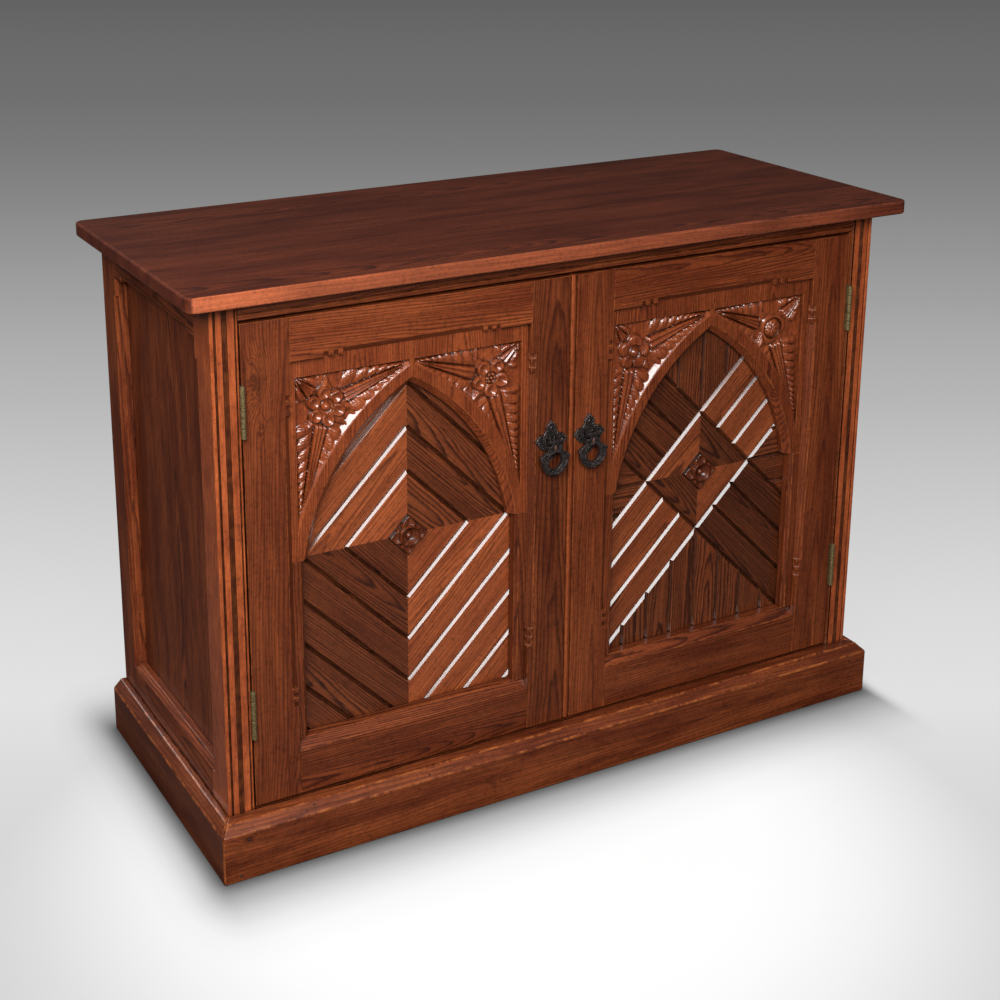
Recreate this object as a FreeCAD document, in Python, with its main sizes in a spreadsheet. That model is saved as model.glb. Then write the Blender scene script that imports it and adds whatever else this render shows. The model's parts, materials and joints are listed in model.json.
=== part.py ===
import FreeCAD, Part
import os
import re
import Sketcher

# Storage cabinet with two boarded doors under pointed arches, in millimetres.
# X runs along the width, Y from the front to the back and Z up from the floor.

DOC = FreeCAD.newDocument("storage_cabinet")
SHEET = DOC.addObject("Spreadsheet::Sheet", "Sizes")
ALIASES = []
RULES = {}
PARTS = []
Vector = FreeCAD.Vector
Rotation = FreeCAD.Rotation


def fill_sheet(values):
    """Puts the driving dimensions on the sheet, each cell under its own name."""
    for name, value in values.items():
        if isinstance(value, (int, float)):
            ALIASES.append(name)
            SHEET.set(f"A{len(ALIASES)}", name)
            SHEET.set(f"B{len(ALIASES)}", str(value))
            SHEET.setAlias(f"B{len(ALIASES)}", name)


def rule(name, text):
    """Names a size that follows from the driving dimensions."""
    RULES[name] = text


def link(text):
    """Writes a sum of named sizes as an expression on the sheet's cells."""
    def swap(match):
        word = match.group(0)
        if word in RULES:
            return "(" + link(RULES[word]) + ")"
        return "Sizes." + word if word in ALIASES else word

    return re.sub(r"[a-z][a-z_]*", swap, text)


def number(text):
    """Works a sum of named sizes out in a spare cell of the sheet."""
    SHEET.set("E1", "=" + link(text).replace("Sizes.", ""))
    SHEET.recompute()
    return float(SHEET.get("E1"))


# Carcass
cabinet_width = 1260  # top, side to side
cabinet_depth = 516  # top, front to back
cabinet_height = 900  # floor to the upper face of the top
top_thickness = 22.5  # top boards
top_front_board_depth = 268  # front board of the top, up to its glue joint
top_edge_radius = 2.5  # worn arris of the top
carcass_side_inset = 42  # overhang of the top at each side
carcass_front_inset = 36  # overhang of the top at the front
post_width = 42  # reeded face of a front post
post_depth = 62  # front post seen from the side
frame_thickness = 32  # rails and rear posts of the side frames
side_top_rail_height = 62  # upper rail of a side frame
side_bottom_rail_height = 106  # lower rail of a side frame, partly behind the plinth
side_bottom_rail_rise = 40  # underside of the lower side rail above the floor
side_chamfer = 8.5  # stopped chamfers round a side panel
side_chamfer_stop = 30  # uncut length at the upper corners
side_panel_recess = 19.5  # side panel behind the frame's face
side_panel_thickness = 10  # side panel
side_panel_tongue = 8  # panel edge held in the frame's grooves
top_rail_height = 28.8  # front rail under the top
top_rail_depth = 60  # front rail, front to back
top_rail_bead = 8  # bead along the lower edge of the front rail
rail_quirk = 2  # quirk above the bead
door_stop_height = 17  # strip behind the doors' heads
stop_clearance = 0.3  # door to its stop
bottom_board_thickness = 18  # floor of the cupboard
bottom_rail_height = 34  # hidden rail under the cupboard floor
bottom_rail_depth = 24  # hidden rail under the cupboard floor
back_board_thickness = 12  # back boards
back_board_width = 124  # one back board
back_board_groove = 3  # vee at each back board joint
back_rail_height = 40  # rail behind the back boards' heads
back_rail_depth = 24  # rail behind the back boards' heads
shelf_thickness = 18  # shelf
shelf_height = 470  # upper face of the shelf above the floor
shelf_setback = 60  # shelf edge behind the doors
bearer_height = 26  # shelf bearer
bearer_thickness = 18  # shelf bearer

# Plinth
plinth_height = 92  # plinth
plinth_front_thickness = 34  # front plinth board
plinth_side_thickness = 23  # side plinth board
plinth_chamfer_depth = 13.5  # plinth chamfer, inwards
plinth_chamfer_height = 14  # plinth chamfer, downwards
plinth_back_thickness = 22  # hidden back rail of the plinth

# Reeds of the front posts
reed_bead = 6.5  # outer bead
reed_quirk = 2.5  # quirk beside a bead
reed_quirk_depth = 3.5  # depth of a quirk
reed_band = 8.5  # outer flat band
reed_flute = 4.2  # one of the two middle flutes
reed_flute_depth = 2.4  # depth of the middle flutes
reed_inner_band = 10  # inner flat band
reed_relief = 1.6  # shoulder where a bead turns over

# Doors
door_setback = 2  # door face behind the posts
door_thickness = 38  # door frame
door_gap = 2.5  # door to post
door_top_gap = 5.2  # door to front rail
door_floor_gap = 2  # door to plinth
meeting_gap = 2.5  # between the two doors
meeting_bead_width = 10.5  # beaded strip on the right door's meeting edge
meeting_quirk = 2.5  # quirk of the beaded strip
meeting_bevel = 2.2  # back bevel of the meeting edges
bead_turn = 3  # where the meeting bead turns over
hinge_stile_width = 73.5  # hinge stile
meeting_stile_width = 68  # meeting stile
door_top_rail_height = 66  # upper rail
door_bottom_rail_height = 85  # lower rail with its splay
bottom_splay = 13.5  # splay on the lower rail
front_lip = 10  # frame in front of the rebate
rebate = 9  # rebate behind the opening
tenon_length = 34  # tenons of the door rails
tenon_thickness = 12  # tenons of the door rails
tenon_shoulder = 14  # shoulder above and below a tenon
stop_chamfer = 10  # stopped chamfers of the door frame
stop_head_margin = 144.5  # upper end of the stile chamfers below the door's head
stop_lower_end = 176  # lower end of the stile chamfers above the door's foot
stop_rail_margin = 82.75  # end of the upper rail's chamfer to the stile
stop_nick = 8  # length of a nick beyond a chamfer's end
stop_nick_space = 7  # wood left between the nicks
stop_nick_depth = 8  # leg of a nick

# Arched board and its jambs
arch_thickness = 20  # arched board
arch_head_margin = 65.9  # point of the arch below the upper rail
arch_rise = 244.6  # point of the arch above its feet
arch_centre_drop = 55  # centre of the arcs below the feet
arch_step = 10.15  # foot of the arch in from the jamb
arch_chamfer = 10  # chamfer round the arch
arch_band = 17  # plain band between the chamfer and the carving
spandrel_strip = 28.3  # plain strip above the carving
spandrel_margin = 11  # plain margin beside the carving
spandrel_middle = 4  # carving to the middle line
spandrel_depth = 8  # ground of the carving
jamb_width = 18  # jamb strip seen beside the opening
jamb_chamfer = 5  # arris of a jamb strip

# Boarded panels
board_thickness = 8  # panel boards
board_pitch = 70.5  # step of the lozenges along the middle lines
board_vee = 4  # half width and depth of a vee
board_joint = 0.2  # joint between two boards
least_board_share = 0.1  # corner board no narrower than this, of the step
lozenge_drop = 3  # centre of the lozenges below the feet of the arch
rosette_half = 33.5  # half diagonal of the rosette block
rosette_rise = 10  # rosette block in front of the boards
rosette_bevel = 5  # bevel round the rosette block
rosette_boss = 8.5  # boss at the rosette's middle
petal_reach_share = 0.52  # petal's middle, of the half diagonal
petal_width_share = 0.7  # petal's width, of the boss
petal_rise = 6  # thickness of a petal, half of it in the block
carved_facets = 8  # round a petal, a boss or a dish
dish_share = 1.5  # dish round the boss, of the boss
dish_depth_share = 0.35  # depth of the dish, of the boss
straight_board_width = 48.3  # upright and level boards of the right door
back_bead_width = 22  # strip that holds the boards at the back
back_bead_thickness = 8  # strip that holds the boards at the back

# Hinges
hinge_length = 77  # butt hinge
hinge_leaf_width = 30  # leaf from the pin's middle
hinge_leaf_thickness = 1.8  # leaf
hinge_leaf_recess = 1  # leaf let into the wood
hinge_knuckle_radius = 4  # knuckle
hinge_knuckle_count = 5  # on one hinge, the first one on the post
hinge_knuckle_facets = 10  # round a knuckle
hinge_pin_radius = 1.6  # pin
hinge_pin_clearance = 0.05  # pin in the turning knuckles
hinge_knuckle_gap = 0.3  # between two knuckles and round them
hinge_axis_proud = 4.5  # pin in front of the posts
upper_hinge_margin = 165  # foot of the upper hinge below the door's head
lower_hinge_foot = 115  # foot of the lower hinge above the door's foot

# Pulls
pull_margin = 258  # pull's pin below the door's head
left_pull_middle = 38  # left pull from the cabinet's middle
right_pull_middle = 32  # right pull from the cabinet's middle
pull_plate_thickness = 3  # plate
pull_plate_half_width = 29  # plate
pull_plate_rise = 31  # upper point of the plate above the pin
pull_plate_drop = 34  # lower point of the plate below the pin
pull_ear_width = 3.5  # ear that holds the pin
pull_ear_height = 9  # ear that holds the pin
pull_facets = 12  # round an ear or the stud
pull_pin_radius = 1.5  # pin
pull_pin_proud = 13  # pin in front of the door
pull_pin_clearance = 0.05  # pin in the ring's eye
pull_eye_radius = 3.4  # eye of the ring
pull_eye_width = 13  # eye of the ring
pull_eye_gap = 0.4  # eye to ear
ring_radius = 24  # outside of the ring
ring_thickness = 6  # ring, front to back
ring_hole_radius = 11.5  # finger hole
ring_hole_stretch = 4  # extra height of the finger hole
ring_drop = 31  # middle of the ring below the pin
ring_nub = 3  # point at each side of the ring
ring_stud_radius = 3.5  # stud on the plate behind the ring
ring_stud_height = 6  # stud on the plate behind the ring
ring_stud_drop = 24  # stud below the pin

fill_sheet(dict(globals()))

rule("half_width", "cabinet_width / 2")
rule("half_depth", "cabinet_depth / 2")
rule("carcass_half", "half_width - carcass_side_inset")
rule("opening_half", "carcass_half - post_width")
rule("inner_half", "carcass_half - frame_thickness")
rule("front_face", "carcass_front_inset - half_depth")
rule("under_top", "cabinet_height - top_thickness")
rule("side_rail_length", "cabinet_depth - carcass_front_inset - post_depth * 2")
rule("side_rail_front", "front_face + post_depth")
rule("rear_post_front", "half_depth - post_depth")
rule("panel_foot", "side_bottom_rail_rise + side_bottom_rail_height - side_panel_tongue")
rule("panel_head", "under_top - side_top_rail_height + side_panel_tongue")
rule("back_boards_front", "half_depth - back_board_thickness")
rule("floor_foot", "plinth_height - bottom_board_thickness")
rule("door_face", "front_face + door_setback")
rule("door_foot", "plinth_height + door_floor_gap")
rule("door_height", "under_top - top_rail_height - door_top_gap - door_foot")
rule("door_edge", "opening_half - door_gap")
rule("panel_width", "door_edge - hinge_stile_width - meeting_stile_width - (meeting_gap + meeting_bead_width) / 2")
rule("panel_half", "panel_width / 2")
rule("door_middle", "door_edge - hinge_stile_width - panel_half")
rule("field_half", "panel_half + rebate")
rule("field_foot", "door_bottom_rail_height - rebate")
rule("field_head", "door_height - door_top_rail_height + rebate")
rule("rebate_depth", "door_thickness - front_lip")
rule("board_front", "door_thickness - board_thickness")
rule("hinge_axis", "opening_half - door_gap / 2")
rule("knuckle", "hinge_length / hinge_knuckle_count")
rule("lozenge_half", "rosette_half + board_pitch")
rule("stop_upper_end", "door_height - stop_head_margin")
rule("stop_rail_half", "panel_half - stop_rail_margin")
rule("upper_hinge_foot", "door_height - upper_hinge_margin")
rule("pull_height", "door_height - pull_margin")
rule("arch_foot_height", "door_height - door_top_rail_height - arch_head_margin - arch_rise")
rule("arch_centre_height", "arch_foot_height - arch_centre_drop")
rule("lozenge_centre_height", "arch_foot_height - lozenge_drop")
rule("arch_half", "panel_half - jamb_width - arch_step")
rule("arch_lift", "arch_rise + arch_centre_drop")
rule("arch_centre_offset", "(arch_lift ^ 2 - arch_centre_drop ^ 2 - arch_half ^ 2) / (2 * arch_half)")
rule("arch_radius", "sqrt(arch_lift ^ 2 + arch_centre_offset ^ 2)")


def set_sum(item, field, text):
    """Binds a property to a sum of named sizes; a plain zero needs no binding."""
    if text != "0":
        item.setExpression(field, link(text))


def place(item, x="0", y="0", z="0", turn=None):
    if turn is not None:
        item.Placement = FreeCAD.Placement(Vector(), turn)
    set_sum(item, "Placement.Base.x", x)
    set_sum(item, "Placement.Base.y", y)
    set_sum(item, "Placement.Base.z", z)
    return item


def box(length, width, height, x="0", y="0", z="0", turn=None):
    item = DOC.addObject("Part::Box", "Block")
    set_sum(item, "Length", length)
    set_sum(item, "Width", width)
    set_sum(item, "Height", height)
    return place(item, x, y, z, turn)


def cylinder(radius, height, x="0", y="0", z="0", turn=None):
    item = DOC.addObject("Part::Cylinder", "Round")
    set_sum(item, "Radius", radius)
    set_sum(item, "Height", height)
    return place(item, x, y, z, turn)


def cone(first, last, height, x="0", y="0", z="0", turn=None):
    item = DOC.addObject("Part::Cone", "Taper")
    set_sum(item, "Radius1", first)
    set_sum(item, "Radius2", last)
    set_sum(item, "Height", height)
    return place(item, x, y, z, turn)


def prism(sides, radius, height, x="0", y="0", z="0", turn=None):
    """A bar with this many flat sides, the radius measured to its corners."""
    item = DOC.addObject("Part::Prism", "Bar")
    item.Polygon = sides
    set_sum(item, "Circumradius", radius)
    set_sum(item, "Height", height)
    return place(item, x, y, z, turn)


def vee(depth, length, x="0", y="0", z="0", turn=None):
    """A square bar on its corner: it cuts a vee, or a chamfer along an arris."""
    return prism(4, depth, length, x, y, z, turn)


def group(kind, items):
    item = DOC.addObject(kind, "Joined")
    if kind == "Part::Compound":
        item.Links = items
    else:
        item.Shapes = items
    return item


def fuse(items):
    return items[0] if len(items) == 1 else group("Part::MultiFuse", items)


def common(items):
    return group("Part::MultiCommon", items)


def cut(base, tools):
    item = DOC.addObject("Part::Cut", "Trimmed")
    item.Base = base
    item.Tool = fuse(tools)
    return item


def mirror(source):
    item = DOC.addObject("Part::Mirroring", "Mirrored")
    item.Source = source
    item.Normal = Vector(1, 0, 0)
    return item


def hand(item, side):
    """Turns a piece drawn for the left into one for the right."""
    return item if side < 0 else mirror(item)


def worn(base, alias, wanted, kind="Part::Fillet"):
    """Rounds or bevels the edges that the test picks."""
    DOC.recompute()
    radius = SHEET.get(alias)
    item = DOC.addObject(kind, "Worn")
    item.Base = base
    edges = enumerate(base.Shape.Edges, 1)
    item.Edges = [(index, radius, radius) for index, edge in edges if wanted(edge, base.Shape.BoundBox)]
    return item


def sketch_on(body, plane):
    sketch = body.newObject("Sketcher::SketchObject", "Outline")
    flat = [item for item in body.Origin.OriginFeatures if item.Role == plane][0]
    sketch.AttachmentSupport = [(flat, "")]
    sketch.MapMode = "FlatFace"
    return sketch


def hold(sketch, line, kind, text, axis):
    """Holds the first point of a line at a named distance from the origin."""
    if text == "0":
        sketch.addConstraint(Sketcher.Constraint("PointOnObject", line, 1, axis))
        return
    index = sketch.addConstraint(Sketcher.Constraint(kind, -1, 1, line, 1, number(text)))
    sketch.setExpression(f"Constraints[{index}]", link(text))


def profile(plane, points, length, backwards=False):
    """A PartDesign body: a closed outline with named points, padded to a named length."""
    body = DOC.addObject("PartDesign::Body", "Body")
    sketch = sketch_on(body, plane)
    spots = [Vector(number(x), number(y), 0) for x, y in points]
    count = len(spots)
    for index, spot in enumerate(spots):
        sketch.addGeometry(Part.LineSegment(spot, spots[(index + 1) % count]), False)
    for index in range(count):
        sketch.addConstraint(Sketcher.Constraint("Coincident", index, 2, (index + 1) % count, 1))
    for index, (x, y) in enumerate(points):
        hold(sketch, index, "DistanceX", x, -2)
        hold(sketch, index, "DistanceY", y, -1)
    pad = body.newObject("PartDesign::Pad", "Pad")
    pad.Profile = sketch
    pad.Reversed = backwards
    set_sum(pad, "Length", length)
    sketch.Visibility = False
    return body


def part(label, item, x="0", y="0", z="0"):
    """Names a finished sub-part and sets it in its place."""
    item.Label = label
    place(item, x, y, z)
    PARTS.append(item)


ALONG_X = Rotation(Vector(0, 1, 0), 90)
ALONG_Y = Rotation(Vector(1, 0, 0), -90)
ALONG_FRONT = Rotation(Vector(1, 0, 0), 90)
UP_RIGHT = Rotation(Vector(0, 1, 0), 45)
DOWN_RIGHT = Rotation(Vector(0, 1, 0), 135)
OVERALL = "cabinet_width"


def top_boards():
    front = box("cabinet_width", "top_front_board_depth", "top_thickness")
    radius = "top_edge_radius"
    front = worn(front, radius, lambda edge, bound: edge.CenterOfMass.y < bound.YMax - number(radius))
    part("top_front_board", front, "-half_width", "-half_depth", "under_top")
    back = box("cabinet_width", "cabinet_depth - top_front_board_depth", "top_thickness")
    back = worn(back, radius, lambda edge, bound: abs(edge.CenterOfMass.y - bound.Center.y) < number(radius))
    part("top_back_board", back, "-half_width", "top_front_board_depth - half_depth", "under_top")


def panel_groove(x, y, z, length, height):
    """The groove that holds an edge of a side panel."""
    return box(x, length, height, "side_panel_recess", y, z)


def front_post(side):
    """Corner post: reeded in front, with the side panel's groove and the hinges' seats."""
    flute_start = "reed_bead + reed_quirk + reed_band"
    flute_middle = flute_start + " + reed_flute"
    flute_end = flute_middle + " + reed_flute"
    band_end = flute_end + " + reed_inner_band"
    points = [
        ("0", "post_depth"),
        ("0", "reed_relief"),
        ("reed_relief", "0"),
        ("reed_bead - reed_relief", "0"),
        ("reed_bead", "reed_relief"),
        ("reed_bead", "reed_quirk_depth"),
        ("reed_bead + reed_quirk", "reed_quirk_depth"),
        ("reed_bead + reed_quirk", "0"),
        (flute_start, "0"),
        (flute_start + " + reed_flute / 4", "reed_flute_depth"),
        (flute_start + " + reed_flute * 3 / 4", "reed_flute_depth"),
        (flute_middle, "reed_relief / 2"),
        (flute_middle + " + reed_flute / 4", "reed_flute_depth"),
        (flute_middle + " + reed_flute * 3 / 4", "reed_flute_depth"),
        (flute_end, "0"),
        (band_end, "0"),
        (band_end, "reed_quirk_depth"),
        (band_end + " + reed_quirk", "reed_quirk_depth"),
        (band_end + " + reed_quirk", "reed_relief"),
        (band_end + " + reed_quirk + reed_relief", "0"),
        ("post_width - reed_relief", "0"),
        ("post_width", "reed_relief"),
        ("post_width", "post_depth"),
    ]
    post = profile("XY_Plane", points, "under_top")
    chamfer_foot = "side_bottom_rail_rise + side_bottom_rail_height - side_chamfer"
    chamfer_head = "under_top - side_top_rail_height - side_chamfer_stop"
    tools = [
        vee("side_chamfer", f"{chamfer_head} - ({chamfer_foot})", "0", "post_depth", chamfer_foot),
        panel_groove("side_panel_thickness", "post_depth - side_panel_tongue", "panel_foot",
                     "side_panel_tongue", "panel_head - panel_foot"),
    ]
    for foot in ("upper_hinge_foot", "lower_hinge_foot"):
        seat = box("hinge_leaf_recess", "hinge_leaf_width - hinge_axis_proud", "hinge_length",
                   "post_width - hinge_leaf_recess", "0", f"door_foot + {foot}")
        tools.append(seat)
    name = "front_post_left" if side < 0 else "front_post_right"
    outside = "-carcass_half" if side < 0 else "carcass_half"
    part(name, hand(cut(post, tools), side), outside, "front_face", "0")


def side_frame(side):
    """Rails, rear post and sunk panel of one side."""
    word = "left" if side < 0 else "right"
    outside = "-carcass_half" if side < 0 else "carcass_half"
    stop = "side_chamfer_stop"
    rear = box("frame_thickness", "post_depth", "under_top")
    chamfer_foot = "side_bottom_rail_rise + side_bottom_rail_height - side_chamfer"
    chamfer_head = "under_top - side_top_rail_height - side_chamfer_stop"
    rear = cut(rear, [
        vee("side_chamfer", f"{chamfer_head} - ({chamfer_foot})", "0", "0", chamfer_foot),
        panel_groove("side_panel_thickness", "0", "panel_foot", "side_panel_tongue", "panel_head - panel_foot"),
    ])
    part(f"rear_post_{word}", hand(rear, side), outside, "rear_post_front", "0")
    upper = box("frame_thickness", "side_rail_length", "side_top_rail_height")
    upper = cut(upper, [
        vee("side_chamfer", f"side_rail_length - {stop} * 2", "0", stop, "0", ALONG_Y),
        panel_groove("side_panel_thickness", "0", "0", "side_rail_length", "side_panel_tongue"),
    ])
    part(f"{word}_side_top_rail", hand(upper, side), outside, "side_rail_front",
         "under_top - side_top_rail_height")
    lower = box("frame_thickness", "side_rail_length", "side_bottom_rail_height")
    lower = cut(lower, [
        vee("side_chamfer", "side_rail_length", "0", "0", "side_bottom_rail_height", ALONG_Y),
        panel_groove("side_panel_thickness", "0", "side_bottom_rail_height - side_panel_tongue",
                     "side_rail_length", "side_panel_tongue"),
    ])
    part(f"{word}_side_bottom_rail", hand(lower, side), outside, "side_rail_front", "side_bottom_rail_rise")
    panel = box("side_panel_thickness", "side_rail_length + side_panel_tongue * 2", "panel_head - panel_foot")
    inset = "side_panel_recess" if side < 0 else "-side_panel_recess"
    part(f"{word}_side_panel", hand(panel, side), f"{outside} + {inset}",
         "side_rail_front - side_panel_tongue", "panel_foot")


def front_rails():
    points = [
        ("reed_relief", "0"),
        ("0", "reed_relief"),
        ("0", "top_rail_bead - reed_relief"),
        ("reed_relief", "top_rail_bead"),
        ("reed_quirk_depth", "top_rail_bead"),
        ("reed_quirk_depth", "top_rail_bead + rail_quirk"),
        ("0", "top_rail_bead + rail_quirk"),
        ("0", "top_rail_height"),
        ("top_rail_depth", "top_rail_height"),
        ("top_rail_depth", "0"),
    ]
    upper = profile("YZ_Plane", points, "opening_half * 2")
    part("front_top_rail", upper, "-opening_half", "front_face", "under_top - top_rail_height")
    lower = box("opening_half * 2", "bottom_rail_depth", "bottom_rail_height")
    part("front_bottom_rail", lower, "-opening_half", "front_face", "floor_foot - bottom_rail_height")
    stop = box("opening_half * 2", "top_rail_depth - door_setback - door_thickness - stop_clearance",
               "door_stop_height")
    part("door_stop", stop, "-opening_half", "door_face + door_thickness + stop_clearance",
         "under_top - top_rail_height - door_stop_height")


def inside():
    """Floor, shelf with its bearers, back boards and their rail."""
    ledge = "inner_half - opening_half"
    points = [
        (ledge, "0"),
        ("inner_half + opening_half", "0"),
        ("inner_half + opening_half", "post_depth"),
        ("inner_half * 2", "post_depth"),
        ("inner_half * 2", "back_boards_front - front_face"),
        ("0", "back_boards_front - front_face"),
        ("0", "post_depth"),
        (ledge, "post_depth"),
    ]
    floor = profile("XY_Plane", points, "bottom_board_thickness")
    part("bottom_board", floor, "-inner_half", "front_face", "floor_foot")
    shelf_front = "door_face + door_thickness + shelf_setback"
    shelf = box("inner_half * 2", f"back_boards_front - ({shelf_front})", "shelf_thickness")
    part("shelf", shelf, "-inner_half", shelf_front, "shelf_height - shelf_thickness")
    bearers = []
    for start in ("-inner_half", "inner_half - bearer_thickness"):
        bearers.append(box("bearer_thickness", "back_boards_front - side_rail_front", "bearer_height", start))
    part("shelf_bearers", group("Part::Compound", bearers), "0", "side_rail_front",
         "shelf_height - shelf_thickness - bearer_height")
    count = round(number("inner_half * 2") / number("back_board_width"))
    board = f"inner_half * 2 / {count}"
    boards = []
    for index in range(count):
        plain = box(board, "back_board_thickness", "under_top - floor_foot", f"{board} * {index}")
        edge = vee("back_board_groove", "under_top - floor_foot", f"{board} * {index}", "back_board_thickness")
        boards.append(cut(plain, [edge]) if index else plain)
    part("back_boards", group("Part::Compound", boards), "-inner_half", "back_boards_front", "floor_foot")
    rail = box("inner_half * 2", "back_rail_depth", "back_rail_height")
    part("back_top_rail", rail, "-inner_half", "back_boards_front - back_rail_depth",
         "under_top - back_rail_height")


def plinth():
    """Front and side boards mitred at the corners under one chamfer, and a plain back rail."""
    width = "(carcass_half + plinth_side_thickness) * 2"
    depth = "cabinet_depth - carcass_front_inset + plinth_front_thickness"
    front_chamfer = [
        ("0", "plinth_height - plinth_chamfer_height"),
        ("plinth_chamfer_depth", "plinth_height"),
        ("0", "plinth_height"),
    ]

    def chamfer_front(x):
        tool = profile("YZ_Plane", front_chamfer, width)
        return place(tool, x)

    def chamfer_side():
        return profile("XZ_Plane", front_chamfer, depth, backwards=True)

    front = profile("XY_Plane", [
        ("0", "0"),
        (width, "0"),
        (f"{width} - plinth_side_thickness", "plinth_front_thickness"),
        ("plinth_side_thickness", "plinth_front_thickness"),
    ], "plinth_height")
    far_side = place(mirror(chamfer_side()), width)
    front = cut(front, [chamfer_front("0"), chamfer_side(), far_side])
    part("plinth_front", front, "-carcass_half - plinth_side_thickness", "front_face - plinth_front_thickness")
    for side in (-1, 1):
        board = profile("XY_Plane", [
            ("0", "0"),
            ("plinth_side_thickness", "plinth_front_thickness"),
            ("plinth_side_thickness", depth),
            ("0", depth),
        ], "plinth_height")
        board = cut(board, [chamfer_front("0"), chamfer_side()])
        word = "left" if side < 0 else "right"
        outside = "-carcass_half - plinth_side_thickness" if side < 0 else "carcass_half + plinth_side_thickness"
        part(f"plinth_{word}", hand(board, side), outside, "front_face - plinth_front_thickness")
    back = box("inner_half * 2", "plinth_back_thickness", "floor_foot")
    part("plinth_back", back, "-inner_half", "half_depth - plinth_back_thickness")


def knuckles(first, gap, radius):
    """Every second knuckle of a butt hinge, from the first one given, with few facets."""
    made = []
    for index in range(first, hinge_knuckle_count, 2):
        height = f"knuckle - ({gap}) * 2"
        made.append(prism(hinge_knuckle_facets, radius, height, "0", "0", f"knuckle * {index} + ({gap})"))
    return made


def hinge_leaf(start, first, gap):
    """One leaf with its knuckles, the pin's middle on the Z axis."""
    leaf = box("hinge_leaf_thickness", "hinge_leaf_width", "hinge_length", start)
    room = knuckles(1 - first, f"{gap} - hinge_knuckle_gap", "hinge_knuckle_radius + hinge_knuckle_gap")
    leaf = cut(leaf, room)
    leaf = fuse([leaf] + knuckles(first, gap, "hinge_knuckle_radius"))
    bore = "hinge_pin_radius" if first == 0 else "hinge_pin_radius + hinge_pin_clearance"
    return cut(leaf, [cylinder(bore, "hinge_length")])


def hinges():
    fixed = []
    pins = []
    for side in (-1, 1):
        axis = "-hinge_axis" if side < 0 else "hinge_axis"
        moving = []
        for foot in ("upper_hinge_foot", "lower_hinge_foot"):
            spot = (axis, "front_face - hinge_axis_proud", f"door_foot + {foot}")
            leaf = hinge_leaf("-door_gap / 2 - hinge_leaf_recess", 0, "0")
            fixed.append(place(hand(leaf, side), *spot))
            pins.append(cylinder("hinge_pin_radius", "hinge_length", *spot))
            leaf = hinge_leaf("door_gap / 2 + hinge_leaf_recess - hinge_leaf_thickness", 1, "hinge_knuckle_gap")
            moving.append(place(hand(leaf, side), "0", "0", foot))
        word = "left" if side < 0 else "right"
        part(f"{word}_door_hinge_leaves", group("Part::Compound", moving),
             axis, "front_face - hinge_axis_proud", "door_foot")
    part("hinge_post_leaves", group("Part::Compound", fixed))
    part("hinge_pins", group("Part::Compound", pins))


def stop_chamfer_along(start, end, x, y, turn):
    """Bars that cut a stopped chamfer and the two nicks beyond each end."""
    step = "(stop_nick + stop_nick_space)"
    runs = [("stop_chamfer", start, f"{end} - ({start})")]
    for count in (1, 2):
        runs.append(("stop_nick_depth", f"{start} - {step} * {count}", "stop_nick"))
        runs.append(("stop_nick_depth", f"{end} + {step} * {count} - stop_nick", "stop_nick"))
    bars = []
    for depth, foot, length in runs:
        if turn is None:
            bars.append(vee(depth, length, x, y, foot))
        else:
            bars.append(vee(depth, length, foot, y, "0", turn))
    return bars


def stile(width, bevel):
    """Door stile, its outer edge at zero, rebated behind and chamfered in front."""
    plain = profile("XY_Plane", [
        ("0", "0"),
        (width, "0"),
        (width, "door_thickness"),
        (bevel, "door_thickness"),
    ], "door_height")
    mortise = "tenon_thickness"
    tools = [
        box("rebate", "rebate_depth", "field_head - field_foot", f"{width} - rebate", "front_lip", "field_foot"),
        box("tenon_length", mortise, "door_bottom_rail_height - tenon_shoulder * 2",
            f"{width} - tenon_length", "(door_thickness - tenon_thickness) / 2", "tenon_shoulder"),
        box("tenon_length", mortise, "door_top_rail_height - tenon_shoulder * 2",
            f"{width} - tenon_length", "(door_thickness - tenon_thickness) / 2",
            "door_height - door_top_rail_height + tenon_shoulder"),
    ]
    return plain, tools + stop_chamfer_along("stop_lower_end", "stop_upper_end", width, "0", None)


def tenoned(rail, height):
    tenon = box("panel_width + tenon_length * 2", "tenon_thickness", f"{height} - tenon_shoulder * 2",
                "-tenon_length", "(door_thickness - tenon_thickness) / 2", "tenon_shoulder")
    return fuse([rail, tenon])


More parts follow.
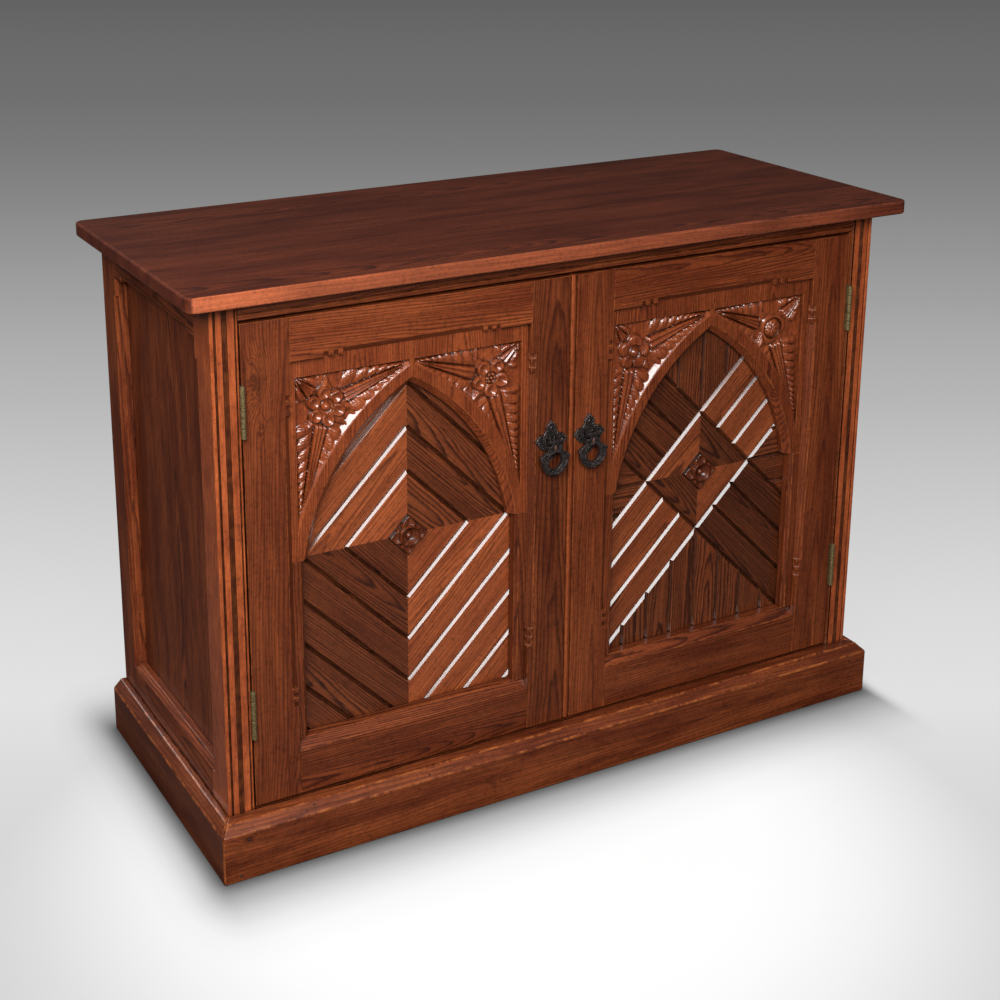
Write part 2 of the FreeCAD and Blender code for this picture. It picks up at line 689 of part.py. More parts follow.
def door_frame(side, word, middle):
    plain, tools = stile("hinge_stile_width", "0")
    for foot in ("upper_hinge_foot", "lower_hinge_foot"):
        seat = box("hinge_leaf_recess", "hinge_leaf_width - hinge_axis_proud - door_setback", "hinge_length",
                   "0", "0", foot)
        tools.append(seat)
    edge = "-door_edge" if side < 0 else "door_edge"
    part(f"{word}_door_hinge_stile", hand(cut(plain, tools), side), edge, "door_face", "door_foot")
    plain, tools = stile("meeting_stile_width", "meeting_bevel" if side < 0 else "0")
    inward = "panel_half + meeting_stile_width"
    spot = f"{middle} + {inward}" if side < 0 else f"{middle} - ({inward})"
    part(f"{word}_door_meeting_stile", hand(cut(plain, tools), -side), spot, "door_face", "door_foot")
    rail = profile("YZ_Plane", [
        ("0", "0"),
        ("front_lip", "0"),
        ("front_lip", "rebate"),
        ("door_thickness", "rebate"),
        ("door_thickness", "door_top_rail_height"),
        ("0", "door_top_rail_height"),
    ], "panel_width")
    rail = cut(rail, stop_chamfer_along("panel_half - stop_rail_half", "panel_half + stop_rail_half",
                                        "0", "0", ALONG_X))
    part(f"{word}_door_top_rail", tenoned(rail, "door_top_rail_height"), f"{middle} - panel_half",
         "door_face", "door_foot + door_height - door_top_rail_height")
    rail = profile("YZ_Plane", [
        ("0", "0"),
        ("0", "door_bottom_rail_height - bottom_splay"),
        ("bottom_splay", "door_bottom_rail_height"),
        ("board_front", "door_bottom_rail_height"),
        ("board_front", "field_foot"),
        ("door_thickness", "field_foot"),
        ("door_thickness", "0"),
    ], "panel_width")
    part(f"{word}_door_bottom_rail", tenoned(rail, "door_bottom_rail_height"), f"{middle} - panel_half",
         "door_face", "door_foot")
    frame = box("(field_half + back_bead_width / 2) * 2", "back_bead_thickness",
                "field_head - field_foot + back_bead_width")
    inner = box("(field_half - back_bead_width / 2) * 2", "back_bead_thickness",
                "field_head - field_foot - back_bead_width", "back_bead_width", "0", "back_bead_width")
    part(f"{word}_door_back_beads", cut(frame, [inner]), f"{middle} - field_half - back_bead_width / 2",
         "door_face + door_thickness", "door_foot + field_foot - back_bead_width / 2")


def meeting_bead():
    """Beaded strip on the meeting edge of the right door."""
    bead = "(meeting_bead_width - meeting_quirk)"
    strip = profile("XY_Plane", [
        ("meeting_bevel", "door_thickness"),
        ("0", "bead_turn"),
        ("bead_turn / 3", "bead_turn / 3"),
        ("bead_turn", "0"),
        (f"{bead} - bead_turn", "0"),
        (f"{bead} - bead_turn / 3", "bead_turn / 3"),
        (bead, "bead_turn"),
        (bead, "reed_quirk_depth"),
        ("meeting_bead_width", "reed_quirk_depth"),
        ("meeting_bead_width", "door_thickness"),
    ], "door_height")
    part("right_door_meeting_bead", strip, "door_middle - panel_half - meeting_stile_width - meeting_bead_width",
         "door_face", "door_foot")


def arch(word, middle):
    """Two arched halves that meet on the middle line, sunk for the carving, on two jamb strips."""
    centre = ("-arch_centre_offset", "0", "arch_centre_height - arch_foot_height")
    field_top = "door_height - door_top_rail_height - spandrel_strip - arch_foot_height"
    for side in (-1, 1):
        board = box("field_half", "arch_thickness", "field_head - arch_foot_height")
        ground = box("panel_half - spandrel_margin - spandrel_middle", "spandrel_depth", field_top,
                     "spandrel_middle")
        band = cylinder("arch_radius + arch_chamfer + arch_band", "spandrel_depth", *centre, ALONG_Y)
        opening = cylinder("arch_radius", "arch_thickness", *centre, ALONG_Y)
        splay = cone("arch_radius + arch_chamfer", "arch_radius", "arch_chamfer", *centre, ALONG_Y)
        half = cut(cut(board, [opening, splay]), [cut(ground, [band])])
        place_word = "west" if side < 0 else "east"
        part(f"{word}_door_arch_{place_word}", hand(half, -side), middle, "door_face + front_lip",
             "door_foot + arch_foot_height")
        jamb = box("jamb_width + rebate", "arch_thickness", "arch_foot_height - door_bottom_rail_height",
                   "-rebate")
        jamb = cut(jamb, [vee("jamb_chamfer", "arch_foot_height - door_bottom_rail_height", "jamb_width")])
        edge = f"{middle} - panel_half" if side < 0 else f"{middle} + panel_half"
        part(f"{word}_door_jamb_{place_word}", hand(jamb, side), edge, "door_face + front_lip",
             "door_foot + door_bottom_rail_height")


def rosette(word, middle):
    """Square block set on its corner, with a boss in a dish between four petals."""
    block = vee("rosette_half", "rosette_rise + board_thickness", "0", "0", "0", ALONG_Y)
    bevel = "rosette_bevel"
    block = worn(block, bevel, lambda edge, bound: edge.CenterOfMass.y < bound.YMin + number(bevel), "Part::Chamfer")
    reach = "rosette_half * petal_reach_share"
    raised = []
    for x, z in ((1, 0), (0, 1), (-1, 0), (0, -1)):
        raised.append(prism(carved_facets, "rosette_boss * petal_width_share", "petal_rise",
                            f"{reach} * {x}" if x else "0", "petal_rise / 2", f"{reach} * {z}" if z else "0",
                            ALONG_FRONT))
    raised.append(prism(carved_facets, "rosette_boss", "rosette_boss", "0", "rosette_boss / 2", "0", ALONG_FRONT))
    dish = prism(carved_facets, "rosette_boss * dish_share", "rosette_boss * dish_depth_share",
                 "0", "0", "0", ALONG_Y)
    carved = fuse([cut(block, [dish])] + raised)
    part(f"{word}_door_rosette", carved, middle, "door_face + board_front - rosette_rise",
         "door_foot + lozenge_centre_height")


def saw(x, z, turn, length):
    """A vee in the face and the joint behind it, along one line."""
    return [
        vee("board_vee", length, x, "0", z, turn),
        box("board_joint", "board_thickness", length, x, "0", z, turn),
    ]


def lozenge_quarter(up):
    """A quarter of the left door's boards: mitred lozenges round the rosette."""
    height = "field_head - lozenge_centre_height" if up else "lozenge_centre_height - field_foot"
    block = box("field_half", "board_thickness", height, "0", "0", "0" if up else f"-({height})")
    tools = [vee("rosette_half", "board_thickness", "0", "0", "0", ALONG_Y)]
    steps = number(f"(field_half + {height} - rosette_half) / board_pitch - least_board_share")
    for step in range(1, int(steps) + 1):
        line = f"(rosette_half + board_pitch * {step})"
        if up:
            tools += saw("0", line, DOWN_RIGHT, f"{line} * sqrt(2)")
        else:
            tools += saw("0", f"-{line}", UP_RIGHT, f"{line} * sqrt(2)")
    return cut(block, tools)


def board_group(label, items, middle):
    part(label, group("Part::Compound", items), middle, "door_face + board_front",
         "door_foot + lozenge_centre_height")


def left_boards():
    for up in (True, False):
        corner = lozenge_quarter(up)
        name = "upper" if up else "lower"
        board_group(f"left_door_{name}_boards", [corner, mirror(lozenge_quarter(up))], "-door_middle")


def arm_block(up):
    """The band of three boards that runs out from one side of the right door's lozenge."""
    if up:
        return box("lozenge_half * sqrt(2)", "board_thickness", OVERALL, "0", "0", "lozenge_half", UP_RIGHT)
    return box("lozenge_half * sqrt(2)", "board_thickness", OVERALL, "lozenge_half", "0", "0", DOWN_RIGHT)


def lozenge_side(up):
    """The vee along one side of the right door's lozenge."""
    if up:
        return vee("board_vee", "lozenge_half * sqrt(2)", "0", "0", "lozenge_half", DOWN_RIGHT)
    return vee("board_vee", "lozenge_half * sqrt(2)", "0", "0", "-lozenge_half", UP_RIGHT)


def saltire_arm(up):
    height = "field_head - lozenge_centre_height" if up else "lozenge_centre_height - field_foot"
    field = box("field_half", "board_thickness", height, "0", "0", "0" if up else f"-({height})")
    tools = [lozenge_side(up)]
    for step in range(4):
        along = f"lozenge_half * {step} / 3"
        away = f"lozenge_half - {along}"
        if up:
            line = saw(along, away, UP_RIGHT, OVERALL)
        else:
            line = saw(along, f"{along} - lozenge_half", DOWN_RIGHT, OVERALL)
        tools += line if step in (1, 2) else line[:1]
    return cut(common([arm_block(up), field]), tools)


def lozenge_board(up):
    """One of the four mitred boards next to the right door's rosette."""
    block = box("lozenge_half", "board_thickness", "lozenge_half", "0", "0", "0" if up else "-lozenge_half")
    whole = vee("lozenge_half", "board_thickness", "0", "0", "0", ALONG_Y)
    hole = vee("rosette_half", "board_thickness", "0", "0", "0", ALONG_Y)
    return cut(common([block, whole]), [hole, lozenge_side(up)])


def upright_boards(up):
    """Upright boards above or below the right door's lozenge."""
    height = "field_head - lozenge_centre_height" if up else "lozenge_centre_height - field_foot"
    span = f"{height} - lozenge_half"
    foot = "lozenge_half" if up else f"-({height})"
    block = box("field_half * 2", "board_thickness", span, "-field_half", "0", foot)
    block = cut(block, [arm_block(up), mirror(arm_block(up))])
    turn = UP_RIGHT if up else DOWN_RIGHT
    tip = "lozenge_half" if up else "-lozenge_half"
    block = cut(block, [vee("board_vee", OVERALL, "0", "0", tip, turn)])
    block = cut(block, [mirror(vee("board_vee", OVERALL, "0", "0", tip, turn))])
    tools = []
    reach = int(number("field_half / straight_board_width"))
    for step in range(-reach, reach + 1):
        tools += saw(f"straight_board_width * {step}" if step else "0", foot, None, span)
    return cut(block, tools)


def level_boards():
    """Level boards beside the right door's lozenge."""
    block = box("field_half - lozenge_half", "board_thickness", "lozenge_half * 2", "lozenge_half", "0",
                "-lozenge_half")
    block = cut(block, [arm_block(True), arm_block(False)])
    block = cut(block, [vee("board_vee", OVERALL, "lozenge_half", "0", "0", UP_RIGHT)])
    block = cut(block, [vee("board_vee", OVERALL, "lozenge_half", "0", "0", DOWN_RIGHT)])
    tools = []
    for step in (-1, 0, 1):
        tools += saw("lozenge_half", f"straight_board_width * {step}" if step else "0", ALONG_X,
                     "field_half - lozenge_half")
    return cut(block, tools)


def right_boards():
    lozenge = []
    arms = []
    straight = []
    for up in (True, False):
        lozenge += [lozenge_board(up), mirror(lozenge_board(up))]
        arms += [saltire_arm(up), mirror(saltire_arm(up))]
        straight.append(upright_boards(up))
    straight += [level_boards(), mirror(level_boards())]
    board_group("right_door_lozenge_boards", lozenge, "door_middle")
    board_group("right_door_saltire_boards", arms, "door_middle")
    board_group("right_door_straight_boards", straight, "door_middle")


def spread(shares, width, height):
    """An outline, mirrored about its middle line, from shares of its half width and its height."""
    sides = [(1 + x, z) for x, z in shares] + [(1 - x, z) for x, z in reversed(shares) if x]
    return [(f"{width} * {x}" if x else "0", f"{height} * {z}" if z else "0") for x, z in sides]


def pull(side):
    """Pointed plate with two ears, a pin through them and the ring that hangs from it."""
    word = "left" if side < 0 else "right"
    x = "-left_pull_middle" if side < 0 else "right_pull_middle"
    z = "door_foot + pull_height"
    tall = "(pull_plate_rise + pull_plate_drop)"
    plate_shares = [
        (0, 0), (0.33, 0.16), (0.3, 0.26), (0.58, 0.29), (1, 0.52), (0.72, 0.65),
        (0.48, 0.66), (0.27, 0.78), (0.34, 0.84), (0, 1),
    ]
    plate = profile("XZ_Plane", spread(plate_shares, "pull_plate_half_width", tall), "pull_plate_thickness")
    place(plate, "-pull_plate_half_width", "0", "-pull_plate_drop")
    pieces = [plate, prism(pull_facets, "ring_stud_radius", "ring_stud_height", "0", "-ring_stud_height",
                           "-ring_stud_drop", ALONG_Y)]
    for start in ("-pull_eye_width / 2 - pull_eye_gap - pull_ear_width", "pull_eye_width / 2 + pull_eye_gap"):
        pieces.append(box("pull_ear_width", "pull_pin_proud", "pull_ear_height", start, "-pull_pin_proud",
                          "-pull_ear_height / 2"))
        pieces.append(prism(pull_facets, "pull_ear_height / 2", "pull_ear_width", start, "-pull_pin_proud",
                            "0", ALONG_X))
    pin_length = "(pull_eye_width + pull_eye_gap * 2 + pull_ear_width * 2)"
    bore = cylinder("pull_pin_radius", pin_length, f"-{pin_length} / 2", "-pull_pin_proud", "0", ALONG_X)
    part(f"{word}_pull_plate", cut(fuse(pieces), [bore]), x, "door_face", z)
    pin = cylinder("pull_pin_radius", pin_length, "0", "0", "0", ALONG_X)
    part(f"{word}_pull_pin", pin, f"{x} - {pin_length} / 2", "door_face - pull_pin_proud", z)
    shoulder_shares = [(0.88, 0), (1, 0.22), (0.78, 0.36), (0.52, 0.5), (0.45, 0.8), (0.23, 0.84), (0.23, 1)]
    wide = "(ring_radius + ring_nub)"
    shoulder = profile("XZ_Plane", spread(shoulder_shares, wide, "ring_drop"), "ring_thickness", backwards=True)
    place(shoulder, f"-{wide}", "-ring_thickness / 2", "-ring_drop")
    disc = cylinder("ring_radius", "ring_thickness", "0", "-ring_thickness / 2", "-ring_drop", ALONG_Y)
    above = box("ring_radius * 2", "ring_thickness", "ring_radius", "-ring_radius", "-ring_thickness / 2", "-ring_drop")
    eye = cylinder("pull_eye_radius", "pull_eye_width", "-pull_eye_width / 2", "0", "0", ALONG_X)
    holes = [
        cylinder("ring_hole_radius", "ring_thickness", "0", "-ring_thickness / 2", f"-ring_drop + {shift}", ALONG_Y)
        for shift in ("ring_hole_stretch / 2", "-ring_hole_stretch / 2")
    ]
    bore = cylinder("pull_pin_radius + pull_pin_clearance", "pull_eye_width", "-pull_eye_width / 2",
                    "0", "0", ALONG_X)
    ring = cut(fuse([shoulder, cut(disc, [above]), eye]), holes + [bore])
    part(f"{word}_pull_ring", ring, x, "door_face - pull_pin_proud", z)


def door(side):
    word = "left" if side < 0 else "right"
    middle = "-door_middle" if side < 0 else "door_middle"
    door_frame(side, word, middle)
    arch(word, middle)
    rosette(word, middle)
    pull(side)


def check():
    """Stops on any failed object or empty shape."""
    failed = [item.Label for item in DOC.Objects if "Invalid" in item.State or "Error" in item.State]
    for item in PARTS:
        if item.Shape.isNull() or not item.Shape.isValid():
            failed.append(item.Label)
    if failed:
        raise RuntimeError("failed: " + ", ".join(failed))


def main():
    top_boards()
    front_rails()
    inside()
    plinth()
    hinges()
    for side in (-1, 1):
        front_post(side)
        side_frame(side)
        door(side)
    meeting_bead()
    left_boards()
    right_boards()
    DOC.recompute()
    check()
    os.makedirs("parts", exist_ok=True)
    for item in PARTS:
        item.Shape.exportStep(f"parts/{item.Label}.step")
        print(item.Label, len(item.Shape.Solids), round(item.Shape.Volume))


main()
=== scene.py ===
"""A storage cabinet in varnished pine, with boarded doors under pointed arches."""
import json
import math
import random

import bmesh
import bpy
import numpy as np
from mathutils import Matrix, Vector

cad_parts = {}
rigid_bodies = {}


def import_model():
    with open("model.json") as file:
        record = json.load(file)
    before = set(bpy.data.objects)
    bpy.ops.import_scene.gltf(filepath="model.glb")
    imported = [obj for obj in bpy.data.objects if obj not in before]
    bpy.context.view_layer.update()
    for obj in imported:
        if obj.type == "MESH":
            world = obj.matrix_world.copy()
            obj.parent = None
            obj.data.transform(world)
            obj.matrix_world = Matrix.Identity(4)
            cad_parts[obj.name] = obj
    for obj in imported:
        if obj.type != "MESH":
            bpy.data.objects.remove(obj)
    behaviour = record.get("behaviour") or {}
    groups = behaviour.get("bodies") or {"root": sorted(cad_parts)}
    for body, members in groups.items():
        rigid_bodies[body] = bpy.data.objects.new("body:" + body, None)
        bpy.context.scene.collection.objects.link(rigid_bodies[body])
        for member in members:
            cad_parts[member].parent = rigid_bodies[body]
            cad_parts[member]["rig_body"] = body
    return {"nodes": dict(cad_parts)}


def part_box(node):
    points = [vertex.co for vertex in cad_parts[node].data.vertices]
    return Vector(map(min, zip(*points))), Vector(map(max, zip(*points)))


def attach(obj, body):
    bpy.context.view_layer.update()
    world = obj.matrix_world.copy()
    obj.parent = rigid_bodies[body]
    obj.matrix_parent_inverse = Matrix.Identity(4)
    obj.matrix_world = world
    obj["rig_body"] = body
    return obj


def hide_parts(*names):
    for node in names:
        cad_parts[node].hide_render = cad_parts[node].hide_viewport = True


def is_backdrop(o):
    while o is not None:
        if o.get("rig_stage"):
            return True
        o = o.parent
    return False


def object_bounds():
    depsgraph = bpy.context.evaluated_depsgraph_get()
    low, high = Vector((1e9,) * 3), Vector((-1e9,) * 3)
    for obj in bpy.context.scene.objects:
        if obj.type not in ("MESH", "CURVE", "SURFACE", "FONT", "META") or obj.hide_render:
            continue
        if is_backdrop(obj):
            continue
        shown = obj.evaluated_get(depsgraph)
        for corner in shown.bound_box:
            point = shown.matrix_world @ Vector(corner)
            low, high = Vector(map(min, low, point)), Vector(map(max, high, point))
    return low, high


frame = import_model()
CAD_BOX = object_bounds()

bl_info = {
    "name": "Arched storage cabinet",
    "version": (1, 0, 0),
    "blender": (4, 5, 0),
    "location": "View3D > Sidebar > Cabinet",
    "description": "Builds the surfaces, carving, metalwork and stage of a storage cabinet",
    "category": "Object",
}

X = Vector((1, 0, 0))
Y = Vector((0, 1, 0))
Z = Vector((0, 0, 1))
RISING = (X + Z).normalized()
FALLING = (X - Z).normalized()

MM = 0.001
# Points closer than this count as one point, or as lying in one plane.
TOUCHING = 1e-6
NEAR = 1e-5
# Widths of the arrises on boards and posts, on small sharp pieces and on hinge leaves.
FINE_ARRIS = 0.0003
CRISP_ARRIS = 0.0004
HINGE_ARRIS = 0.0009

# The camera looks this way round; the floor's brightness is given at distances along it.
HEADING = math.radians(28.53)
FLOOR_START = 1.0
FLOOR_SPAN = 14.0
FLOOR_SHADES = (
    (-0.76, 0.52), (-0.17, 0.61), (0.03, 0.655), (0.43, 0.61), (0.95, 0.525), (1.64, 0.42),
    (2.62, 0.317), (3.28, 0.266), (4.12, 0.217), (5.2, 0.177), (6.66, 0.147), (11.6, 0.114),
)
# A painted pool of light on the floor round the cabinet: its middle, and brightness at distances from it.
GLOW_MIDDLE = (-0.168, -0.33, 0.0)
GLOW_SHADES = (
    (0.0, 0.84), (0.38, 0.84), (0.47, 0.81), (0.56, 0.75), (0.64, 0.68), (0.72, 0.61), (0.8, 0.56),
    (0.9, 0.52), (0.98, 0.36), (1.0, 0.0),
)
# The painted soft shadow round the plinth: distance in front of it and what is left of the light there.
# Beside the plinth the shadow is narrower by these shares.
SHADOW_SPAN = 0.2
SHADOW_SHADES = (
    (0.0, 0.24), (0.017, 0.34), (0.035, 0.45), (0.07, 0.68), (0.105, 0.85), (0.14, 0.95), (SHADOW_SPAN, 1.0),
)
LEFT_SHARE = 1.9
RIGHT_SHARE = 5.0
# Reach of the painted shadow right at the cabinet's foot.
CONTACT_SHADOW_REACH = 0.03
# How bright the floor is, and how much of the lamps' light it shows and gives back.
FLOOR_LEVEL = 1.09
LAMP_SHARE = 0.1
BOUNCE_SHARE = 0.12

# Knots: middle, reach each way, how many rings they stir and how dark they are.
KNOTS = (
    ((-519, -221, 755), (17, 20, 40), 5.0, 0.45), ((-510, -221, 690), (9, 20, 16), 3.0, 0.2),
    ((-570.6, -256, 66), (13, 20, 7), 2.0, 0.8), ((-160, -256, 40), (14, 20, 8), 3.0, 0.5),
    ((300, -256, 52), (10, 20, 6), 3.0, 0.4),
)
# The span over which the outline of a knot is stirred.
KNOT_STIR = 0.012
# One growth ring from its early wood to its late wood and back.
RING_SHADES = ((0.0, 0.15), (0.25, 0.0), (0.55, 0.25), (0.8, 0.9), (0.92, 1.0), (1.0, 0.15))

# A board cut over the heart starts this deep in it, and its flames are this much shorter.
HEART_DEPTH = 0.007
HEART_RUN = 4

# Grain runs along the first direction; the second lies across the shown face and the third behind it.
GRAINS = {
    "level": (X, Z, Y),
    "upright": (Z, X, Y),
    "top": (X, Y, Z),
    "side upright": (Z, Y, X),
    "side level": (Y, Z, X),
    "rising": (RISING, FALLING, Y),
    "falling": (FALLING, RISING, Y),
}


class CabinetSizes(bpy.types.PropertyGroup):
    softening: bpy.props.FloatProperty(
        name="Softening", description="Rounding of the worn arrises", default=0.0008, unit="LENGTH")
    ring_spacing: bpy.props.FloatProperty(
        name="Ring spacing", description="Distance between growth rings", default=0.0042, unit="LENGTH")
    ring_wander: bpy.props.FloatProperty(
        name="Ring wander", description="How far the rings bend sideways", default=0.02, unit="LENGTH")
    floor_radius: bpy.props.FloatProperty(
        name="Floor", description="Radius of the floor", default=30.0, unit="LENGTH")


class CabinetColours(bpy.types.PropertyGroup):
    frame_light: bpy.props.FloatVectorProperty(
        name="Frame, light", description="Early wood of the frames", subtype="COLOR",
        default=(0.225, 0.051, 0.014))
    frame_dark: bpy.props.FloatVectorProperty(
        name="Frame, dark", description="Late wood of the frames", subtype="COLOR",
        default=(0.055, 0.01, 0.0035))
    board_light: bpy.props.FloatVectorProperty(
        name="Boards, light", description="Early wood of the boards", subtype="COLOR",
        default=(0.27, 0.066, 0.019))
    board_dark: bpy.props.FloatVectorProperty(
        name="Boards, dark", description="Late wood of the boards", subtype="COLOR",
        default=(0.052, 0.011, 0.004))
    top_light: bpy.props.FloatVectorProperty(
        name="Top, light", description="Early wood of the top", subtype="COLOR",
        default=(0.145, 0.03, 0.011))
    top_dark: bpy.props.FloatVectorProperty(
        name="Top, dark", description="Late wood of the top", subtype="COLOR",
        default=(0.045, 0.009, 0.004))
    inside_light: bpy.props.FloatVectorProperty(
        name="Inside, light", description="Early wood inside", subtype="COLOR", default=(0.46, 0.24, 0.1))
    inside_dark: bpy.props.FloatVectorProperty(
        name="Inside, dark", description="Late wood inside", subtype="COLOR", default=(0.29, 0.12, 0.045))
    worn: bpy.props.FloatVectorProperty(
        name="Worn arris", description="Rubbed edges", subtype="COLOR", default=(0.36, 0.1, 0.025))
    # The top's front edge: worn colour that also carries a painted sheen.
    faded: bpy.props.FloatVectorProperty(
        name="Faded edge", description="Front edge of the top", subtype="COLOR",
        default=(0.38, 0.091, 0.033))
    brass: bpy.props.FloatVectorProperty(
        name="Brass", description="Hinges", subtype="COLOR", default=(0.22, 0.16, 0.07))
    iron: bpy.props.FloatVectorProperty(
        name="Iron", description="Pulls", subtype="COLOR", default=(0.085, 0.068, 0.064))
    copper: bpy.props.FloatVectorProperty(
        name="Copper", description="Tongues of the pulls", subtype="COLOR", default=(0.13, 0.06, 0.045))
    floor: bpy.props.FloatVectorProperty(
        name="Floor", description="Floor near the cabinet", subtype="COLOR", default=(0.92, 0.92, 0.92))


def settings():
    return bpy.context.scene.cabinet_sizes, bpy.context.scene.cabinet_colours


# Nodes

def four_parts(shade):
    """A colour or a grey, with its alpha."""
    return (shade, shade, shade, 1.0) if isinstance(shade, (int, float)) else tuple(shade) + (1.0,)


class Net:
    """Adds nodes to a tree; a value in the inputs is set, a socket is linked."""

    def __init__(self, tree):
        self.tree = tree

    def add(self, kind, inputs=None, **values):
        made = self.tree.nodes.new("ShaderNode" + kind)
        for name, value in values.items():
            setattr(made, name, value)
        for name, value in (inputs or {}).items():
            if isinstance(value, bpy.types.NodeSocket):
                self.link(value, made.inputs[name])
            else:
                made.inputs[name].default_value = value
        return made

    def link(self, source, target):
        self.tree.links.new(source, target)

    def math(self, kind, *terms):
        return self.add("Math", dict(enumerate(terms)), operation=kind).outputs[0]

    def vector(self, kind, first, second=None):
        """A sum with vectors; lengths, distances and dot products give a single value."""
        inputs = {0: first}
        if second is not None:
            inputs["Scale" if kind == "SCALE" else 1] = second
        made = self.add("VectorMath", inputs, operation=kind)
        return made.outputs["Value" if kind in ("LENGTH", "DISTANCE", "DOT_PRODUCT") else "Vector"]

    def noise(self, vector, detail=2.0, rough=0.5):
        return self.add("TexNoise", {"Vector": vector, "Scale": 1.0, "Detail": detail, "Roughness": rough})

    def stretched(self, source, along, across):
        scale = self.add("CombineXYZ", {0: along, 1: across, 2: across}).outputs[0]
        return self.vector("MULTIPLY", source, scale)

    def ramp(self, value, stops):
        made = self.add("ValToRGB", {"Fac": value})
        elements = made.color_ramp.elements
        while len(elements) < len(stops):
            elements.new(0.5)
        for element, (place, shade) in zip(elements, stops):
            element.position = place
            element.color = four_parts(shade)
        return made.outputs[0]

    def mix(self, share, first, second, blend="MIX"):
        made = self.tree.nodes.new("ShaderNodeMix")
        made.data_type = "RGBA"
        made.blend_type = blend
        for index, value in ((0, share), (6, first), (7, second)):
            if isinstance(value, bpy.types.NodeSocket):
                self.link(value, made.inputs[index])
            elif index:
                made.inputs[index].default_value = four_parts(value)
            else:
                made.inputs[index].default_value = value
        return made.outputs[2]


def node_group(name, takes, gives):
    tree = bpy.data.node_groups.new(name, "ShaderNodeTree")
    for kind, label in takes:
        tree.interface.new_socket(name=label, in_out="INPUT", socket_type="NodeSocket" + kind)
    for kind, label in gives:
        tree.interface.new_socket(name=label, in_out="OUTPUT", socket_type="NodeSocket" + kind)
    net = Net(tree)
    source = tree.nodes.new("NodeGroupInput")
    target = tree.nodes.new("NodeGroupOutput")
    return net, source.outputs, target.inputs


def figure_group():
    """Growth rings cut by the face of a board, with streaks and fibres along it."""
    net, takes, gives = node_group(
        "Wood figure",
        [("Vector", "Grain"), ("Float", "Spacing"), ("Float", "Wander")],
        [("Float", "Rings"), ("Float", "Fibre"), ("Float", "Height"), ("Float", "Knots")])
    grain = takes["Grain"]
    bend = net.noise(net.stretched(grain, 2.2, 7.0), 2.0).outputs["Color"]
    bend = net.vector("SCALE", net.vector("SUBTRACT", bend, (0.5, 0.5, 0.5)), takes["Wander"])
    place = net.vector("ADD", grain, bend)
    along = net.add("SeparateXYZ", {0: place}).outputs[0]
    from_heart = net.vector("LENGTH", net.vector("MULTIPLY", place, (0.0, 1.0, 1.0)))
    from_heart = net.math("MULTIPLY_ADD", along, 0.03, from_heart)
    waver = net.noise(net.stretched(grain, 7.0, 40.0), 3.0).outputs["Fac"]
    rough = net.noise(net.stretched(grain, 25.0, 300.0), 2.0).outputs["Fac"]
    count = net.math("DIVIDE", from_heart, takes["Spacing"])
    count = net.math("MULTIPLY_ADD", waver, 1.8, count)
    count = net.math("MULTIPLY_ADD", rough, 0.5, count)
    spot = net.add("TexCoord").outputs["Object"]
    stir = net.noise(net.stretched(spot, 120.0, 120.0), 2.0).outputs["Color"]
    spot = net.vector("ADD", spot, net.vector("SCALE", stir, KNOT_STIR))
    half_stir = Vector((1, 1, 1)) * KNOT_STIR / 2
    dark = 0.0
    for centre, reach, swirl, shade in KNOTS:
        away = net.vector("SUBTRACT", spot, Vector(centre) * MM + half_stir)
        away = net.vector("LENGTH", net.vector("MULTIPLY", away, tuple(1 / (side * MM) for side in reach)))
        near = net.math("EXPONENT", net.math("MULTIPLY", net.math("MULTIPLY", away, away), -1.0))
        count = net.math("MULTIPLY_ADD", near, swirl, count)
        tight = net.math("POWER", near, 4.0)
        dark = net.math("MULTIPLY_ADD", tight, shade, dark)
    uneven = net.math("MULTIPLY", net.math("SINE", net.math("MULTIPLY", count, 0.9)), 0.35)
    rings = net.ramp(net.math("FRACT", net.math("ADD", count, uneven)), RING_SHADES)
    fine = net.noise(net.stretched(grain, 14.0, 1000.0), 3.0, 0.65).outputs["Fac"]
    streaks = net.noise(net.stretched(grain, 6.0, 240.0), 4.0, 0.65).outputs["Fac"]
    net.link(rings, gives["Rings"])
    net.link(dark, gives["Knots"])
    net.link(net.math("MULTIPLY_ADD", net.math("SUBTRACT", streaks, fine), 0.6, fine), gives["Fibre"])
    net.link(net.math("MULTIPLY_ADD", rings, 0.4, fine), gives["Height"])
    return net.tree


def wear_group():
    """Uneven patches and specks over a whole surface, and rubbing along its arrises."""
    net, takes, gives = node_group(
        "Wear", [("Vector", "Grain"), ("Float", "Arris"), ("Float", "Amount")],
        [("Float", "Patches"), ("Float", "Specks"), ("Float", "Rubbed")])
    place = net.add("TexCoord").outputs["Object"]

    def noise(scale):
        return net.noise(net.vector("SCALE", place, scale), 3.0, 0.6).outputs["Fac"]

    along = net.noise(net.stretched(takes["Grain"], 4.0, 26.0), 5.0, 0.6).outputs["Fac"]
    net.link(along, gives["Patches"])
    net.link(noise(170.0), gives["Specks"])
    chosen = net.ramp(noise(60.0), [(0.42, 0.0), (0.62, 1.0)])
    rubbed = net.math("MULTIPLY", net.math("MULTIPLY", takes["Arris"], chosen), takes["Amount"])
    net.link(rubbed, gives["Rubbed"])
    return net.tree


def principled(name):
    material = bpy.data.materials.new(name)
    material.use_nodes = True
    net = Net(material.node_tree)
    return material, net, material.node_tree.nodes["Principled BSDF"]


def corner_shade_and_grime(net, reach, deepest):
    """Painted shade and grime in the corners where surfaces meet: the less open round a point, the darker.
    """
    open_share = net.add("AmbientOcclusion", {"Distance": reach}, samples=4).outputs["AO"]
    return net.ramp(open_share, [(0.35, deepest), (0.8, 1.0)])


